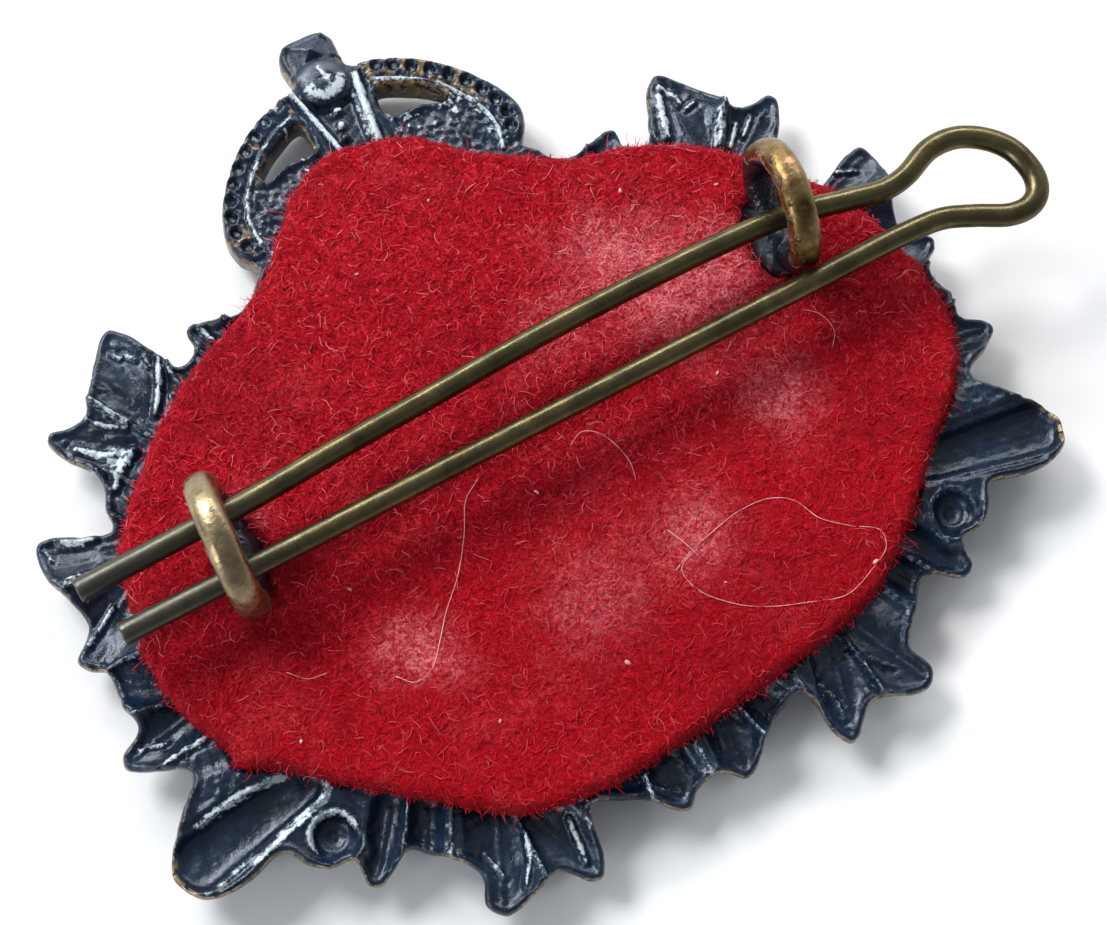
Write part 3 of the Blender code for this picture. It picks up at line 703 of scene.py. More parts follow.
def fibres(name, roots, heading, length, radius, lift, curl, tone, seed, steps=5):
    """Short curved fibres lying in the pile, each a closed three-sided tube."""
    r = np.random.default_rng(seed)
    n = len(roots)
    x, y = roots[:, 0].copy(), roots[:, 1].copy()
    ang = heading.copy()
    line = np.zeros((n, steps, 3))
    for k in range(steps):
        t = k / (steps - 1)
        edge = np.clip(felt_edge(x, y), 0.0, 5.0)
        base = np.where(felt_edge(x, y) > -0.02, felt_top(x, y, edge), FELT_TOP - 0.45)
        line[:, k, 0], line[:, k, 1] = x, y
        line[:, k, 2] = base + lift * math.sin(math.pi * min(1.0, t * 1.15)) - 0.02 + 0.03 * r.normal(size=n) * (0 < k < steps - 1)
        step_len = length / (steps - 1)
        x = x + np.cos(ang) * step_len
        y = y + np.sin(ang) * step_len
        ang = ang + curl / (steps - 1) + r.normal(0, 0.22, n)
    tang = np.gradient(line, axis=1)
    tang /= np.linalg.norm(tang, axis=2)[:, :, None] + 1e-12
    side = np.cross(tang, [0.0, 0.0, 1.0])
    side /= np.linalg.norm(side, axis=2)[:, :, None] + 1e-12
    up = np.cross(side, tang)
    verts = np.zeros((n, steps, 3, 3))
    taper = np.array([0.75] + [1.0] * (steps - 2) + [0.45])
    for j in range(3):
        a = 2 * math.pi * j / 3 + 0.5
        off = side * math.cos(a) + up * math.sin(a)
        verts[:, :, j] = line + off * (radius[:, None] * taper[None, :])[:, :, None]
    verts = verts.reshape(-1, 3)
    verts[:, 1] -= FIELD_Y
    verts *= MM
    base = (np.arange(n) * steps * 3)[:, None]
    faces = []
    for k in range(steps - 1):
        for j in range(3):
            a, b = k * 3 + j, k * 3 + (j + 1) % 3
            faces.append(base + np.array([a, b, b + 3, a + 3]))
    faces = np.concatenate(faces).tolist()
    last = (steps - 1) * 3
    faces += (base + np.array([2, 1, 0])).tolist() + (base + np.array([last, last + 1, last + 2])).tolist()
    return new_object(name, verts, faces, {"tone": np.repeat(tone, steps * 3)})


def nap(name, count, seed, fringe):
    r = np.random.default_rng(seed)
    lo, hi = np.array(felt_loop).min(0), np.array(felt_loop).max(0)
    pts = r.uniform(lo, hi, (int(count * 1.7), 2))
    d = felt_edge(pts[:, 0], pts[:, 1])
    ok = d > 0.12
    for fx, fy, a in SLITS.values():
        ux = (pts[:, 0] - fx) * math.cos(a) + (pts[:, 1] - fy) * math.sin(a)
        uy = -(pts[:, 0] - fx) * math.sin(a) + (pts[:, 1] - fy) * math.cos(a)
        ok &= (ux / 1.15) ** 2 + (uy / 2.7) ** 2 > 1
    pts = pts[ok][:count]
    n = len(pts)
    heading = r.uniform(0, 2 * math.pi, n)
    length = r.uniform(0.40, 1.15, n)
    radius = r.uniform(0.011, 0.019, n)
    lift = r.uniform(0.015, 0.10, n)
    curl = r.normal(0, 1.5, n)
    tone = np.clip(r.beta(1.7, 2.8, n) + 0.28 * spots(pts[:, 0], pts[:, 1], PINK)
                   - 0.2 * spots(pts[:, 0], pts[:, 1], DARK), 0, 1)
    # fringe along the cut edge, pointing outwards
    ring = np.array(ccw(felt_loop))
    pick = r.integers(0, len(ring), fringe)
    tangent = ring[(pick + 1) % len(ring)] - ring[pick - 1]
    out = np.arctan2(-tangent[:, 0], tangent[:, 1])
    p2 = ring[pick] - 0.10 * np.stack([np.cos(out), np.sin(out)], 1)
    pts = np.concatenate([pts, p2])
    heading = np.concatenate([heading, out + r.normal(0, 0.7, fringe)])
    length = np.concatenate([length, r.uniform(0.14, 0.40, fringe)])
    radius = np.concatenate([radius, r.uniform(0.012, 0.020, fringe)])
    lift = np.concatenate([lift, r.uniform(0.0, 0.06, fringe)])
    curl = np.concatenate([curl, r.normal(0, 1.2, fringe)])
    tone = np.concatenate([tone, r.beta(1.4, 3.4, fringe)])
    return fibres(name, pts, heading, length, radius, lift, curl, tone, seed + 1)


nap_a = nap("felt_nap_a", 6500, 301, 900)
nap_b = nap("felt_nap_b", 6500, 311, 900)

LINT = [
    ([(-2.96, 8.0), (-3.99, 7.3), (-4.84, 5.86), (-5.96, 4.31), (-7.24, 3.03), (-8.07, 2.01),
      (-8.98, 1.04), (-9.94, 0.83), (-10.6, 1.48)], 0.021),
    ([(1.5, 7.4), (2.3, 7.75), (3.0, 7.3), (3.45, 6.4), (3.59, 5.42), (3.41, 4.53)], 0.020),
    ([(4.51, 0.44), (3.24, -0.13), (3.46, -1.41), (4.57, -2.68), (5.92, -3.55), (7.64, -4.23),
      (9.36, -4.72), (11.02, -4.2), (12.1, -3.6), (12.25, -2.79), (11.13, -1.94), (10.07, -1.01),
      (9.48, 0.28), (8.5, 0.9), (6.97, 1.04), (5.3, 0.72), (3.94, 0.36), (2.95, -0.08)], 0.019),
    ([(3.55, 1.75), (4.02, 0.7), (4.25, -0.01)], 0.022),
    ([(14.6, 8.3), (15.3, 7.6), (15.4, 6.7), (14.9, 6.0)], 0.017),
    ([(-14.8, 3.9), (-14.1, 3.2), (-13.2, 3.0)], 0.016),
]


def thread(points, radius, seed):
    pts = np.array(spline(points, 0.12, closed=False))
    n = len(pts)
    r = np.random.default_rng(seed)
    z = felt_top(pts[:, 0], pts[:, 1], np.clip(felt_edge(pts[:, 0], pts[:, 1]), 0.0, 5.0)) + 0.05
    z = np.convolve(np.pad(z, 4, mode="edge"), np.ones(9) / 9, mode="valid") + 0.045 * np.sin(np.arange(n) * 0.24 + seed) + 0.005
    line = np.column_stack([pts, z])
    tang = np.gradient(line, axis=0)
    tang /= np.linalg.norm(tang, axis=1)[:, None]
    side = np.cross(tang, [0, 0, 1.0])
    side /= np.linalg.norm(side, axis=1)[:, None]
    up = np.cross(side, tang)
    k = 6
    rad = 0.82 * radius * (1 + 0.12 * r.normal(size=n))
    rad[0] = rad[-1] = radius * 0.4
    rings = [line + (side * math.cos(2 * math.pi * j / k) + up * math.sin(2 * math.pi * j / k)) * rad[:, None]
             for j in range(k)]
    verts = np.stack(rings, 1).reshape(-1, 3)
    faces = [[i * k + j, i * k + (j + 1) % k, (i + 1) * k + (j + 1) % k, (i + 1) * k + j]
             for i in range(n - 1) for j in range(k)]
    faces += [list(range(k))[::-1], [(n - 1) * k + j for j in range(k)]]
    return verts, faces


def pieces_of(name, parts, attribute=None):
    verts, faces, base = [], [], 0
    for v, f in parts:
        verts.append(v)
        faces += [[i + base for i in face] for face in f]
        base += len(v)
    verts = np.concatenate(verts)
    verts[:, 1] -= FIELD_Y
    return new_object(name, verts * MM, faces)


def crumb(cx, cy, size, seed):
    """A small irregular closed fleck lying in the pile."""
    r = np.random.default_rng(seed)
    rows, cols = 5, 8
    z0 = float(felt_top(np.array([cx]), np.array([cy]), np.array([2.0]))[0]) + 0.4 * size
    turn = r.uniform(0, math.pi)
    verts, faces = [(cx, cy, z0 + 0.6 * size)], []
    for i in range(1, rows):
        for j in range(cols):
            th, ph = math.pi * i / rows, 2 * math.pi * j / cols
            q = size * (1 + 0.25 * r.normal())
            u, v = 1.7 * q * math.sin(th) * math.cos(ph), q * math.sin(th) * math.sin(ph)
            verts.append((cx + u * math.cos(turn) - v * math.sin(turn),
                          cy + u * math.sin(turn) + v * math.cos(turn), z0 + 0.6 * q * math.cos(th)))
    verts.append((cx, cy, z0 - 0.6 * size))
    for j in range(cols):
        faces.append([0, 1 + j, 1 + (j + 1) % cols])
        for i in range(rows - 2):
            a = 1 + i * cols
            faces.append([a + j, a + cols + j, a + cols + (j + 1) % cols, a + (j + 1) % cols])
        a = 1 + (rows - 2) * cols
        faces.append([a + j, len(verts) - 1, a + (j + 1) % cols])
    return np.array(verts), faces


CRUMBS = [(-1.07, -2.81, 0.10), (11.3, -4.0, 0.10), (-0.92, 6.13, 0.07), (9.85, 17.7, 0.08),
          (9.4, 7.4, 0.07), (-10.6, 6.0, 0.06), (-7.4, -2.5, 0.06), (-15.6, 0.8, 0.06),
          (4.7, -1.6, 0.05), (14.2, 15.9, 0.06), (-3.4, 19.6, 0.06), (1.4, 21.5, 0.05)]
lint = pieces_of("felt_lint", [thread(p, w, 400 + i) for i, (p, w) in enumerate(LINT)]
                 + [crumb(cx, cy, s, 430 + i) for i, (cx, cy, s) in enumerate(CRUMBS)])


# ------------------------------------------------------------------- lugs ---
def ring_lug(name, centre, bore, turn, lean, seed):
    nu, nv = 132, 32
    major = bore / 2 + LUG_WIRE / 2
    t, l = math.radians(turn), math.radians(lean)
    u = np.linspace(0, 2 * math.pi, nu, endpoint=False)[:, None]
    v = np.linspace(0, 2 * math.pi, nv, endpoint=False)[None, :]
    cv, sv = np.cos(v), np.sin(v)
    # flattened wire: fuller shoulders than a circle
    sect_r = np.sign(cv) * np.abs(cv) ** 0.82 * 0.93
    sect_a = np.sign(sv) * np.abs(sv) ** 0.82 * 1.06
    hammer = 1 + 0.030 * fbm(np.cos(u) * 3.0 + 0 * v, np.sin(u) * 3.0 + v * 0.5, 1.0, 3, seed)
    half = LUG_WIRE / 2 * hammer
    r = major + half * sect_r
    across, rise = r * np.cos(u), r * np.sin(u)
    along = half * sect_a + 0.05 * np.sin(u * 2 + seed)
    al = along * math.cos(l) - rise * math.sin(l)
    ri = along * math.sin(l) + rise * math.cos(l)
    x = centre[0] + al * math.cos(t) - across * math.sin(t)
    y = centre[1] + al * math.sin(t) + across * math.cos(t)
    z = np.maximum(LUG_Z + ri, FELT_TOP - 0.25 + 0.0 * ri)
    verts = np.stack([x, y - FIELD_Y, z], -1).reshape(-1, 3) * MM
    faces = [[i * nv + j, i * nv + (j + 1) % nv, ((i + 1) % nu) * nv + (j + 1) % nv, ((i + 1) % nu) * nv + j]
             for i in range(nu) for j in range(nv)]
    faces = [f[::-1] for f in faces]
    inner = smooth(-cv + 0 * u, 0.0, 0.75)
    low_part = smooth(-(z - LUG_Z), -0.2, 1.5)
    return new_object(name, verts, faces, {"low": low_part.ravel(), "bore": inner.ravel(),
                                           "away": smooth(-al, 0.0, 0.5).ravel()})


lug_obs = {}
for i, (lug, (centre, bore, turn, lean)) in enumerate(LUGS.items()):
    lug_obs[lug] = ring_lug("ring_" + lug, centre, bore, turn, lean, 501 + 20 * i)


FOOT_SHIFT = {"lug_left": (0.0, 0.0), "lug_right": (0.50, 0.45)}


def mound(name, fx, fy, turn, seed):
    """Run-out braze round a ring's foot, blacked over with the plate's lacquer."""
    na, nr = 72, 16
    verts, faces = [], []
    for k in range(nr + 1):
        q = k / nr
        for j in range(na):
            a = 2 * math.pi * j / na
            wob = 1 + 0.10 * float(fbm(np.array([math.cos(a) * 2]), np.array([math.sin(a) * 2]), 1.0, 2, seed)[0])
            u, v = 1.22 * q * math.cos(a) * wob, 2.35 * q * math.sin(a) * wob
            z = BACK + 0.28 + 1.55 * (1 - q ** 2.6) + 0.10 * float(fbm(np.array([u]), np.array([v]), 0.5, 2, seed + 3)[0])
            verts.append((fx + u * math.cos(turn) - v * math.sin(turn),
                          fy - FIELD_Y + u * math.sin(turn) + v * math.cos(turn), z))
    for k in range(nr):
        for j in range(na):
            a, b = k * na + j, k * na + (j + 1) % na
            faces.append([a, a + na, b + na, b])
    base = len(verts)
    for j in range(na):
        p = verts[nr * na + j]
        verts.append((p[0], p[1], BACK - 0.02))
    for j in range(na):
        a, b = nr * na + j, nr * na + (j + 1) % na
        faces.append([a, base + j, base + (j + 1) % na, b])
    faces.append([base + j for j in range(na)][::-1])
    faces.append([j for j in range(na)])
    return new_object(name, np.array(verts) * MM, faces)


braze_obs = {lug: mound("braze_run_" + lug, fx - FOOT_SHIFT[lug][0], fy - FOOT_SHIFT[lug][1], a, 551 + 9 * i)
             for i, (lug, (fx, fy, a)) in enumerate(SLITS.items())}


# -------------------------------------------------------------------- pin ---
def pin_mesh():
    pts = np.array(spline(PIN_PATH, 0.22, closed=False))
    gap = np.linalg.norm(np.diff(pts, axis=0), axis=1)
    s = np.concatenate([[0], np.cumsum(gap)])
    n = int(s[-1] / 0.20)
    ss = np.linspace(0, s[-1], n)
    x, y = np.interp(ss, s, pts[:, 0]), np.interp(ss, s, pts[:, 1])
    line = np.column_stack([x, y - FIELD_Y, np.full(n, PIN_Z)])
    tang = np.gradient(line, axis=0)
    tang /= np.linalg.norm(tang, axis=1)[:, None]
    side = np.column_stack([-tang[:, 1], tang[:, 0], np.zeros(n)])
    up = np.array([0, 0, 1.0])
    nv = 36
    v = np.linspace(0, 2 * math.pi, nv, endpoint=False)
    eye = smooth(line[:, 0], 21.5, 25.0)
    rows = []
    for i in range(n):
        dent = 1 + 0.012 * fbm(ss[i] / 1.6 + 0 * v, v * 0.8, 1.0, 2, 601)
        rad = PIN_WIRE / 2 * dent
        w = 1 + 0.05 * eye[i]
        ring = line[i] + side[i] * (np.cos(v) * rad * w)[:, None] + up * (np.sin(v) * rad * (1 - 0.04 * eye[i]))[:, None]
        rows.append(ring)
    rows = np.array(rows)
    # cut ends: a burr-rounded corner, then a slightly domed face
    def cap(row, direction):
        c = row.mean(axis=0)
        return [c + (row - c) * 0.93 + direction * 0.05, c + (row - c) * 0.80 + direction * 0.065,
                c + (row - c) * 0.35 + direction * 0.06]
    head = cap(rows[0], -tang[0])
    tail = cap(rows[-1], tang[-1])
    allrows = np.array(head[::-1] + list(rows) + tail)
    m = len(allrows)
    verts = allrows.reshape(-1, 3) * MM
    faces = [[i * nv + j, i * nv + (j + 1) % nv, (i + 1) * nv + (j + 1) % nv, (i + 1) * nv + j]
             for i in range(m - 1) for j in range(nv)]
    faces += [list(range(nv))[::-1], [(m - 1) * nv + j for j in range(nv)]]
    return new_object("bent_pin", verts, faces)


pin = pin_mesh()


# -------------------------------------------------------------- materials ---
class Look:
    """A node material whose textures are laid out in millimetres on the object."""

    def __init__(self, name):
        self.mat = bpy.data.materials.new(name)
        self.mat.use_nodes = True
        self.tree = self.mat.node_tree
        self.bsdf = self.tree.nodes["Principled BSDF"]
        coord = self.tree.nodes.new("ShaderNodeTexCoord")
        scale = self.tree.nodes.new("ShaderNodeMapping")
        scale.inputs["Scale"].default_value = (1000, 1000, 1000)
        self.link(coord.outputs["Object"], scale.inputs["Vector"])
        self.mm = scale.outputs["Vector"]

    def link(self, a, b):
        self.tree.links.new(a, b)

    def put(self, socket, value):
        if isinstance(value, bpy.types.NodeSocket):
            self.link(value, socket)
        else:
            socket.default_value = value

    def set(self, **values):
        for key, value in values.items():
            self.put(self.bsdf.inputs[key.replace("_", " ")], value)

    def noise(self, scale, detail=3.0, rough=0.55, distort=0.0, stretch=None):
        node = self.tree.nodes.new("ShaderNodeTexNoise")
        node.inputs["Scale"].default_value = scale
        node.inputs["Detail"].default_value = detail
        node.inputs["Roughness"].default_value = rough
        node.inputs["Distortion"].default_value = distort
        source = self.mm
        if stretch:
            m = self.tree.nodes.new("ShaderNodeMapping")
            m.inputs["Scale"].default_value = stretch
            self.link(self.mm, m.inputs["Vector"])
            source = m.outputs["Vector"]
        self.link(source, node.inputs["Vector"])
        return node.outputs["Fac"]

    def attribute(self, name):
        node = self.tree.nodes.new("ShaderNodeAttribute")
        node.attribute_name = name
        return node.outputs["Fac"]

    def ramp(self, value, *stops):
        node = self.tree.nodes.new("ShaderNodeValToRGB")
        el = node.color_ramp.elements
        while len(el) < len(stops):
            el.new(0.5)
        for e, (pos, col) in zip(el, stops):
            e.position = pos
            e.color = (*col, 1.0) if len(col) == 3 else col
        self.link(value, node.inputs["Fac"])
        return node.outputs["Color"]

    def span(self, value, low, high, out_low=0.0, out_high=1.0):
        node = self.tree.nodes.new("ShaderNodeMapRange")
        node.interpolation_type = "SMOOTHSTEP"
        self.link(value, node.inputs["Value"])
        for key, val in (("From Min", low), ("From Max", high), ("To Min", out_low), ("To Max", out_high)):
            node.inputs[key].default_value = val
        return node.outputs["Result"]

    def math(self, op, a, b=0.0, clamp=False):
        node = self.tree.nodes.new("ShaderNodeMath")
        node.operation = op
        node.use_clamp = clamp
        self.put(node.inputs[0], a)
        self.put(node.inputs[1], b)
        return node.outputs[0]

    def mix(self, fac, a, b, kind="MIX"):
        node = self.tree.nodes.new("ShaderNodeMix")
        node.data_type = "RGBA"
        node.blend_type = kind
        self.put(node.inputs[0], fac)
        for sock, val in ((node.inputs[6], a), (node.inputs[7], b)):
            if isinstance(val, tuple):
                val = (*val, 1.0) if len(val) == 3 else val
            self.put(sock, val)
        return node.outputs[2]

    def bump(self, height, distance, strength=1.0, under=None):
        node = self.tree.nodes.new("ShaderNodeBump")
        node.inputs["Distance"].default_value = distance
        node.inputs["Strength"].default_value = strength
        self.link(height, node.inputs["Height"])
        if under is not None:
            self.link(under, node.inputs["Normal"])
        return node.outputs["Normal"]

    def separate(self, axis):
        node = self.tree.nodes.new("ShaderNodeSeparateXYZ")
        self.link(self.mm, node.inputs[0])
        return node.outputs[axis]


def lacquer_look(name, with_maps=True):
    m = Look(name)
    cloud = m.noise(0.75, 4)
    base = m.ramp(cloud, (0.30, (0.002, 0.005, 0.012)), (0.52, (0.005, 0.012, 0.029)), (0.75, (0.010, 0.023, 0.052)))
    grain = m.noise(7.0, 4, 0.65)
    base = m.mix(m.span(grain, 0.58, 0.76, 0.0, 0.22), base, (0.055, 0.075, 0.110))
    metal = 0.0
    if with_maps:
        # Painted highlights: where the highlight map is high, broken up by streak noise, the lacquer is painted a
        # pale grey-blue.
        streak = m.noise(2.6, 5, 0.7, 0.6)
        ragged = m.math("MULTIPLY", m.math("SUBTRACT", streak, 0.5), 2.1)
        split = m.math("MULTIPLY", m.math("SUBTRACT", m.noise(7.5, 3, 0.6), 0.5), 1.0)
        pale = m.math("ADD", m.math("ADD", m.attribute("painted_highlight"), ragged), split)
        pale = m.math("MULTIPLY", m.span(pale, 0.42, 0.92, 0.0, 0.95), m.span(m.attribute("painted_highlight"), 0.10, 0.40), clamp=True)
        base = m.mix(pale, base, (0.56, 0.65, 0.69))
        fleck = m.noise(3.4, 3, 0.6)
        bare = m.math("MULTIPLY", m.attribute("brass"), m.span(fleck, 0.40, 0.54, 0.12, 1.2), clamp=True)
        bare = m.span(bare, 0.30, 0.60, 0.0, 1.0)
        tarnish = m.ramp(m.noise(1.9, 4), (0.35, (0.150, 0.095, 0.048)), (0.65, (0.330, 0.230, 0.130)))
        base = m.mix(bare, base, tarnish)
        metal = m.math("MULTIPLY", bare, 0.45)
        rough = m.span(m.noise(1.6, 3), 0.3, 0.7, 0.15, 0.34)
        m.set(Roughness=rough)
    else:
        base = m.mix(m.span(m.noise(1.1, 3), 0.35, 0.65, 0.55, 0.85), base, (0.003, 0.004, 0.006))
        m.set(Roughness=m.span(m.noise(1.6, 3), 0.3, 0.7, 0.16, 0.38))
    m.set(Base_Color=base, Metallic=metal)
    m.bsdf.inputs["IOR"].default_value = 1.52
    m.bsdf.inputs["Specular Tint"].default_value = (0.85, 0.92, 1.0, 1.0)
    fine = m.bump(m.noise(4.2, 3, 0.55, 0.4), 0.00003, 0.8)
    m.set(Normal=m.bump(m.noise(14.0, 3, 0.6), 0.000018, 0.8, fine))
    return m.mat


def felt_look():
    m = Look("felt_red")
    fibre = m.noise(3.6, 6, 0.72, 1.6)
    base = m.ramp(fibre, (0.37, (0.100, 0.001, 0.004)), (0.47, (0.430, 0.002, 0.010)),
                  (0.57, (0.620, 0.006, 0.020)), (0.70, (0.800, 0.110, 0.130)))
    blot = m.noise(0.45, 4, 0.6)
    base = m.mix(m.span(blot, 0.50, 0.70, 0.0, 0.45), base, (0.30, 0.003, 0.014))
    speck = m.noise(5.5, 2, 0.5, 0.8)
    base = m.mix(m.span(speck, 0.56, 0.68, 0.0, 0.70), base, (0.12, 0.001, 0.005))
    # Painted shade: the felt turns darker and deeper red toward its lower side.
    base = m.mix(m.span(m.separate(1), 3.0, -7.0, 0.0, 0.45), base, (0.46, 0.001, 0.008))
    base = m.mix(m.math("MULTIPLY", m.attribute("worn"), m.span(m.noise(2.0, 4), 0.3, 0.6, 0.55, 1.0)),
                 base, m.ramp(fibre, (0.38, (0.42, 0.014, 0.026)), (0.49, (0.76, 0.095, 0.125)), (0.60, (0.94, 0.33, 0.35))))
    # Darkened where that map is high: darker patches, and painted shade along the cut edge.
    base = m.mix(m.math("MULTIPLY", m.attribute("dark_patches_edge_shade"), 0.62), base, (0.155, 0.003, 0.010))
    m.set(Base_Color=base, Roughness=m.span(m.noise(2.2, 3), 0.3, 0.7, 0.88, 1.0))
    m.bsdf.inputs["Specular IOR Level"].default_value = 0.06
    m.bsdf.inputs["Sheen Weight"].default_value = 0.10
    m.bsdf.inputs["Sheen Roughness"].default_value = 0.45
    m.bsdf.inputs["Sheen Tint"].default_value = (1.0, 0.35, 0.38, 1.0)
    coarse = m.bump(m.noise(3.4, 5, 0.75, 1.4), 0.00024, 1.0)
    m.set(Normal=m.bump(m.noise(9.0, 4, 0.7, 1.0), 0.00007, 0.9, coarse))
    return m.mat


def nap_look():
    m = Look("felt_nap")
    base = m.ramp(m.attribute("tone"), (0.0, (0.20, 0.001, 0.006)), (0.30, (0.56, 0.004, 0.016)),
                  (0.58, (0.72, 0.040, 0.060)), (1.0, (0.86, 0.30, 0.32)))
    base = m.mix(m.span(m.noise(1.4, 3), 0.45, 0.7, 0.0, 0.4), base, (0.30, 0.003, 0.012))
    # Painted shade: the nap turns darker and deeper red toward the lower side, as on the felt.
    base = m.mix(m.span(m.separate(1), 3.0, -7.0, 0.0, 0.50), base, (0.50, 0.002, 0.010))
    m.set(Base_Color=base, Roughness=m.span(m.noise(3.0, 2), 0.3, 0.7, 0.62, 0.85))
    m.bsdf.inputs["Specular IOR Level"].default_value = 0.1
    return m.mat


def lint_look():
    m = Look("lint_pale")
    base = m.ramp(m.noise(1.2, 3), (0.35, (0.62, 0.17, 0.20)), (0.65, (0.78, 0.48, 0.49)))
    m.set(Base_Color=base, Roughness=m.span(m.noise(4.0, 2), 0.3, 0.7, 0.5, 0.75))
    return m.mat


def ring_look(name, black, pale, pink):
    m = Look(name)
    cloud = m.noise(1.1, 4, 0.6)
    base = m.ramp(cloud, (0.30, (0.085, 0.052, 0.018)), (0.50, (0.200, 0.130, 0.050)), (0.72, (0.320, 0.225, 0.100)))
    copper = m.noise(0.9, 3, 0.5)
    base = m.mix(m.span(copper, 0.54, 0.68, 0.0, pink), base, (0.46, 0.235, 0.165))
    base = m.mix(pale, base, (0.36, 0.32, 0.215))
    pit = m.noise(6.5, 3, 0.6)
    base = m.mix(m.span(pit, 0.58, 0.72, 0.0, 0.6), base, (0.075, 0.045, 0.020))
    edge_noise = m.noise(1.5, 4, 0.6)
    dark = m.math("ADD", m.math("MULTIPLY", m.attribute("low"), black[0]),
                  m.math("MULTIPLY", m.attribute("bore"), black[1]))
    dark = m.math("ADD", dark, m.math("MULTIPLY", m.attribute("away"), black[2]))
    dark = m.math("ADD", dark, m.span(edge_noise, 0.3, 0.7, -0.10, 0.12))
    dark = m.span(dark, 0.50, 0.66, 0.0, 1.0)
    base = m.mix(dark, base, (0.006, 0.009, 0.016))
    m.set(Base_Color=base, Metallic=m.span(dark, 0.0, 1.0, 0.95, 0.0),
          Roughness=m.math("MULTIPLY", m.span(m.noise(2.4, 4), 0.3, 0.7, 0.24, 0.42), m.span(dark, 0.0, 1.0, 1.0, 0.50)))
    fine = m.bump(m.noise(2.2, 4, 0.6), 0.00005, 0.8)
    fine = m.bump(m.math("MULTIPLY", dark, m.noise(1.15, 3, 0.6)), 0.00045, 0.9, fine)
    m.set(Normal=m.bump(m.noise(11.0, 3, 0.6), 0.000012, 0.8, fine))
    return m.mat


def pin_look():
    m = Look("pin_tarnished_brass")
    cloud = m.noise(0.55, 4, 0.6, 0.3)
    base = m.ramp(cloud, (0.28, (0.045, 0.036, 0.017)), (0.50, (0.105, 0.085, 0.038)), (0.74, (0.185, 0.150, 0.066)))
    grey = m.span(m.separate(0), -8.0, -21.0, 0.0, 0.80)
    base = m.mix(grey, base, (0.070, 0.072, 0.066))
    drawn = m.noise(1.0, 4, 0.6, 0.0, (0.25, 4.0, 4.0))
    base = m.mix(m.span(drawn, 0.52, 0.72, 0.0, 0.45), base, (0.055, 0.044, 0.026))
    pit = m.noise(8.0, 3, 0.6)
    base = m.mix(m.span(pit, 0.60, 0.74, 0.0, 0.5), base, (0.040, 0.032, 0.020))
    m.set(Base_Color=base, Metallic=m.span(cloud, 0.3, 0.7, 0.86, 0.95),
          Roughness=m.math("ADD", m.span(m.noise(1.8, 4), 0.3, 0.7, 0.22, 0.36), m.math("MULTIPLY", grey, 0.14)))
    m.bsdf.inputs["Specular Tint"].default_value = (0.55, 0.52, 0.44, 1.0)
    m.bsdf.inputs["Coat Weight"].default_value = 0.25
    m.bsdf.inputs["Coat Roughness"].default_value = 0.20
    fine = m.bump(m.noise(1.6, 3, 0.5), 0.000022, 0.7)
    m.set(Normal=m.bump(m.noise(12.0, 3, 0.6), 0.000010, 0.8, fine))
    return m.mat


def floor_look():
    m = Look("floor_pale")
    base = m.ramp(m.noise(0.02, 3), (0.3, (0.86, 0.86, 0.86)), (0.7, (0.90, 0.90, 0.90)))
    m.set(Base_Color=base, Roughness=m.span(m.noise(0.05, 2), 0.3, 0.7, 0.75, 0.85))
    # Painted light: the floor glows, more strongly the farther it lies from the badge.
    out = m.math("SQRT", m.math("ADD", m.math("POWER", m.separate(0), 2.0), m.math("POWER", m.separate(1), 2.0)))
    m.set(Emission_Strength=m.span(out, 180.0, 900.0, 0.0, 0.42))
    m.bsdf.inputs["Emission Color"].default_value = (0.90, 0.95, 1.0, 1.0)
    return m.mat


def dress(ob, mat):
    ob.data.materials.clear()
    ob.data.materials.append(mat)


dress(plate, lacquer_look("plate_lacquer_worn"))
dress(felt, felt_look())
nap_mat = nap_look()
dress(nap_a, nap_mat)
dress(nap_b, nap_mat)
dress(lint, lint_look())
dress(lug_obs["lug_left"], ring_look("ring_brass_left", (1.0, 0.25, 0.0), 0.40, 0.25))
dress(lug_obs["lug_right"], ring_look("ring_brass_right", (0.9, 0.75, 0.5), 0.0, 0.85))
black_braze = lacquer_look("braze_black", with_maps=False)
for ob in braze_obs.values():
    dress(ob, black_braze)
dress(pin, pin_look())

# ------------------------------------------------------------ frame links ---
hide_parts("badge_plate")
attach(plate, "badge")
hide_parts("felt_backing")
for ob in (felt, nap_a, nap_b, lint):
    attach(ob, "badge")
for lug in LUGS:
    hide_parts(lug)
    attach(lug_obs[lug], "badge")
    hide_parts(lug + "_braze")
    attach(braze_obs[lug], "badge")
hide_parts("cotter_pin")
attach(pin, "pin")

# ------------------------------------------------------- floor and lights ---
floor_mesh = bpy.data.meshes.new("studio_floor")
s = 3.0
floor_mesh.from_pydata([(-s, -s, 0), (s, -s, 0), (s, s, 0), (-s, s, 0)], [], [(0, 1, 2, 3)])
floor = bpy.data.objects.new("studio_floor", floor_mesh)
bpy.context.scene.collection.objects.link(floor)
dress(floor, floor_look())

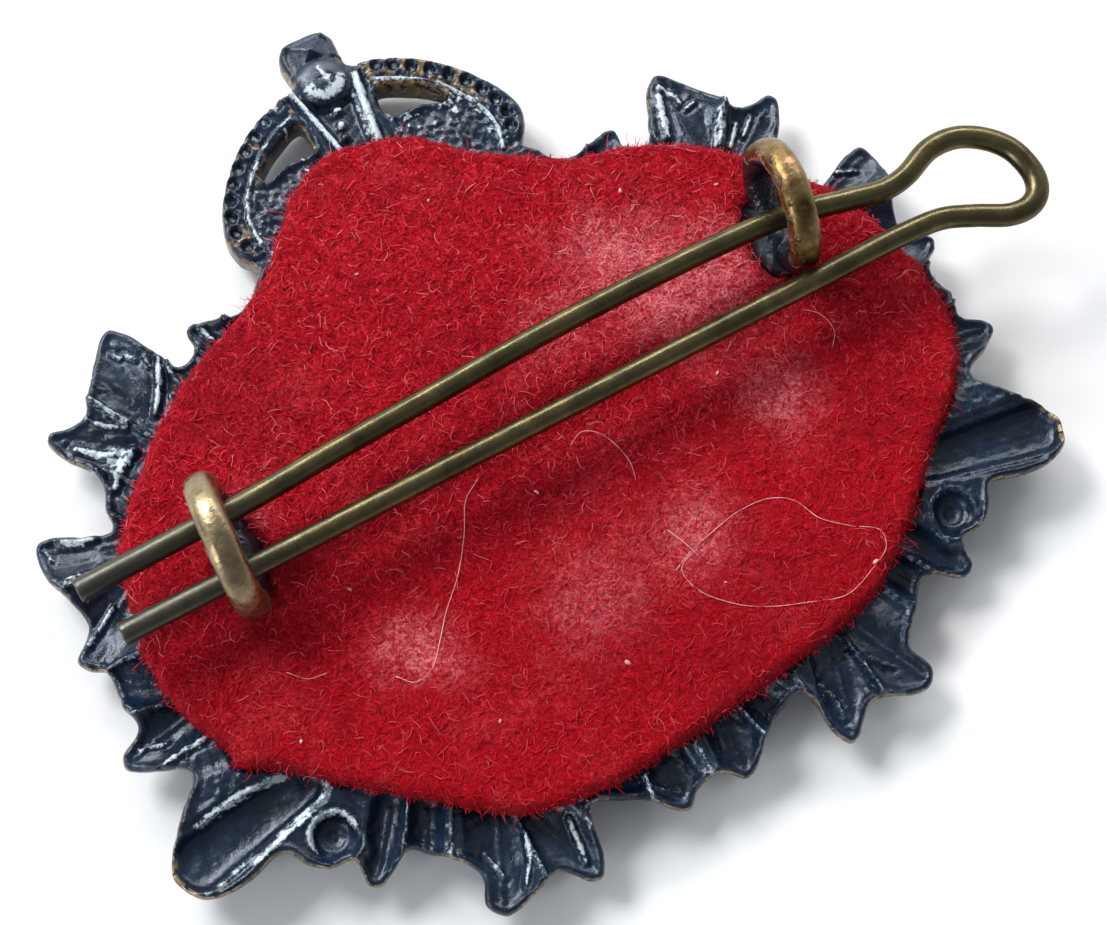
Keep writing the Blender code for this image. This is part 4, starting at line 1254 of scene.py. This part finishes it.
scene = bpy.context.scene
scene.view_settings.view_transform = "Standard"
world = bpy.data.worlds.new("studio")
world.use_nodes = True
_wt = world.node_tree
_sky = _wt.nodes["Background"]
_sky.inputs["Color"].default_value = (0.90, 0.95, 1.0, 1.0)
_way = _wt.nodes.new("ShaderNodeTexCoord")
_xyz = _wt.nodes.new("ShaderNodeSeparateXYZ")
_up = _wt.nodes.new("ShaderNodeMapRange")
_up.interpolation_type = "SMOOTHSTEP"
for _key, _val in (("From Min", 0.05), ("From Max", 0.75), ("To Min", 0.80), ("To Max", 0.34)):
    _up.inputs[_key].default_value = _val
_wt.links.new(_way.outputs["Generated"], _xyz.inputs[0])
_wt.links.new(_xyz.outputs[2], _up.inputs["Value"])
_lee = _wt.nodes.new("ShaderNodeMapRange")
_lee.interpolation_type = "SMOOTHSTEP"
for _key, _val in (("From Min", -0.85), ("From Max", 0.25), ("To Min", 0.50), ("To Max", 1.08)):
    _lee.inputs[_key].default_value = _val
_wt.links.new(_xyz.outputs[1], _lee.inputs["Value"])
_both = _wt.nodes.new("ShaderNodeMath")
_both.operation = "MULTIPLY"
_wt.links.new(_up.outputs["Result"], _both.inputs[0])
_wt.links.new(_lee.outputs["Result"], _both.inputs[1])
_wt.links.new(_both.outputs[0], _sky.inputs["Strength"])
scene.world = world


def softbox(name, place, width, height, power, colour=(1, 1, 1)):
    light = bpy.data.lights.new(name, "AREA")
    light.shape = "RECTANGLE"
    light.size, light.size_y = width, height
    light.energy = power
    light.color = colour
    ob = bpy.data.objects.new(name, light)
    scene.collection.objects.link(ob)
    aim = Vector((0.0, 0.002, 0.003)) - Vector(place)
    ob.location = place
    ob.rotation_euler = aim.to_track_quat("-Z", "Y").to_euler()


softbox("key", (-0.13, 0.27, 0.28), 0.17, 0.12, 1.36, (0.985, 0.99, 1.0))
softbox("strip", (0.07, 0.30, 0.21), 0.46, 0.060, 1.05, (0.985, 0.99, 1.0))
softbox("side", (-0.34, -0.06, 0.16), 0.07, 0.20, 0.50, (0.92, 0.96, 1.0))
softbox("right", (0.30, 0.16, 0.20), 0.06, 0.16, 0.16, (1.0, 0.98, 0.96))

# ----------------------------------------------------------------- camera ---
cam = bpy.data.cameras.new("camera")
cam.sensor_fit = "HORIZONTAL"
cam.sensor_width = 36.0
cam.lens = 70.01
cam.clip_start, cam.clip_end = 0.001, 20.0
cam_ob = bpy.data.objects.new("camera", cam)
scene.collection.objects.link(cam_ob)
right = Vector((0.87924, -0.47408, 0.04669))
down = Vector((-0.43851, -0.84376, -0.30949))
ahead = Vector((0.18612, 0.25165, -0.94975))
turn = Matrix((right, -down, -ahead)).transposed()
cam_ob.matrix_world = Matrix.Translation((-0.018083, -0.025001, 0.098039)) @ turn.to_4x4()
scene.camera = cam_ob
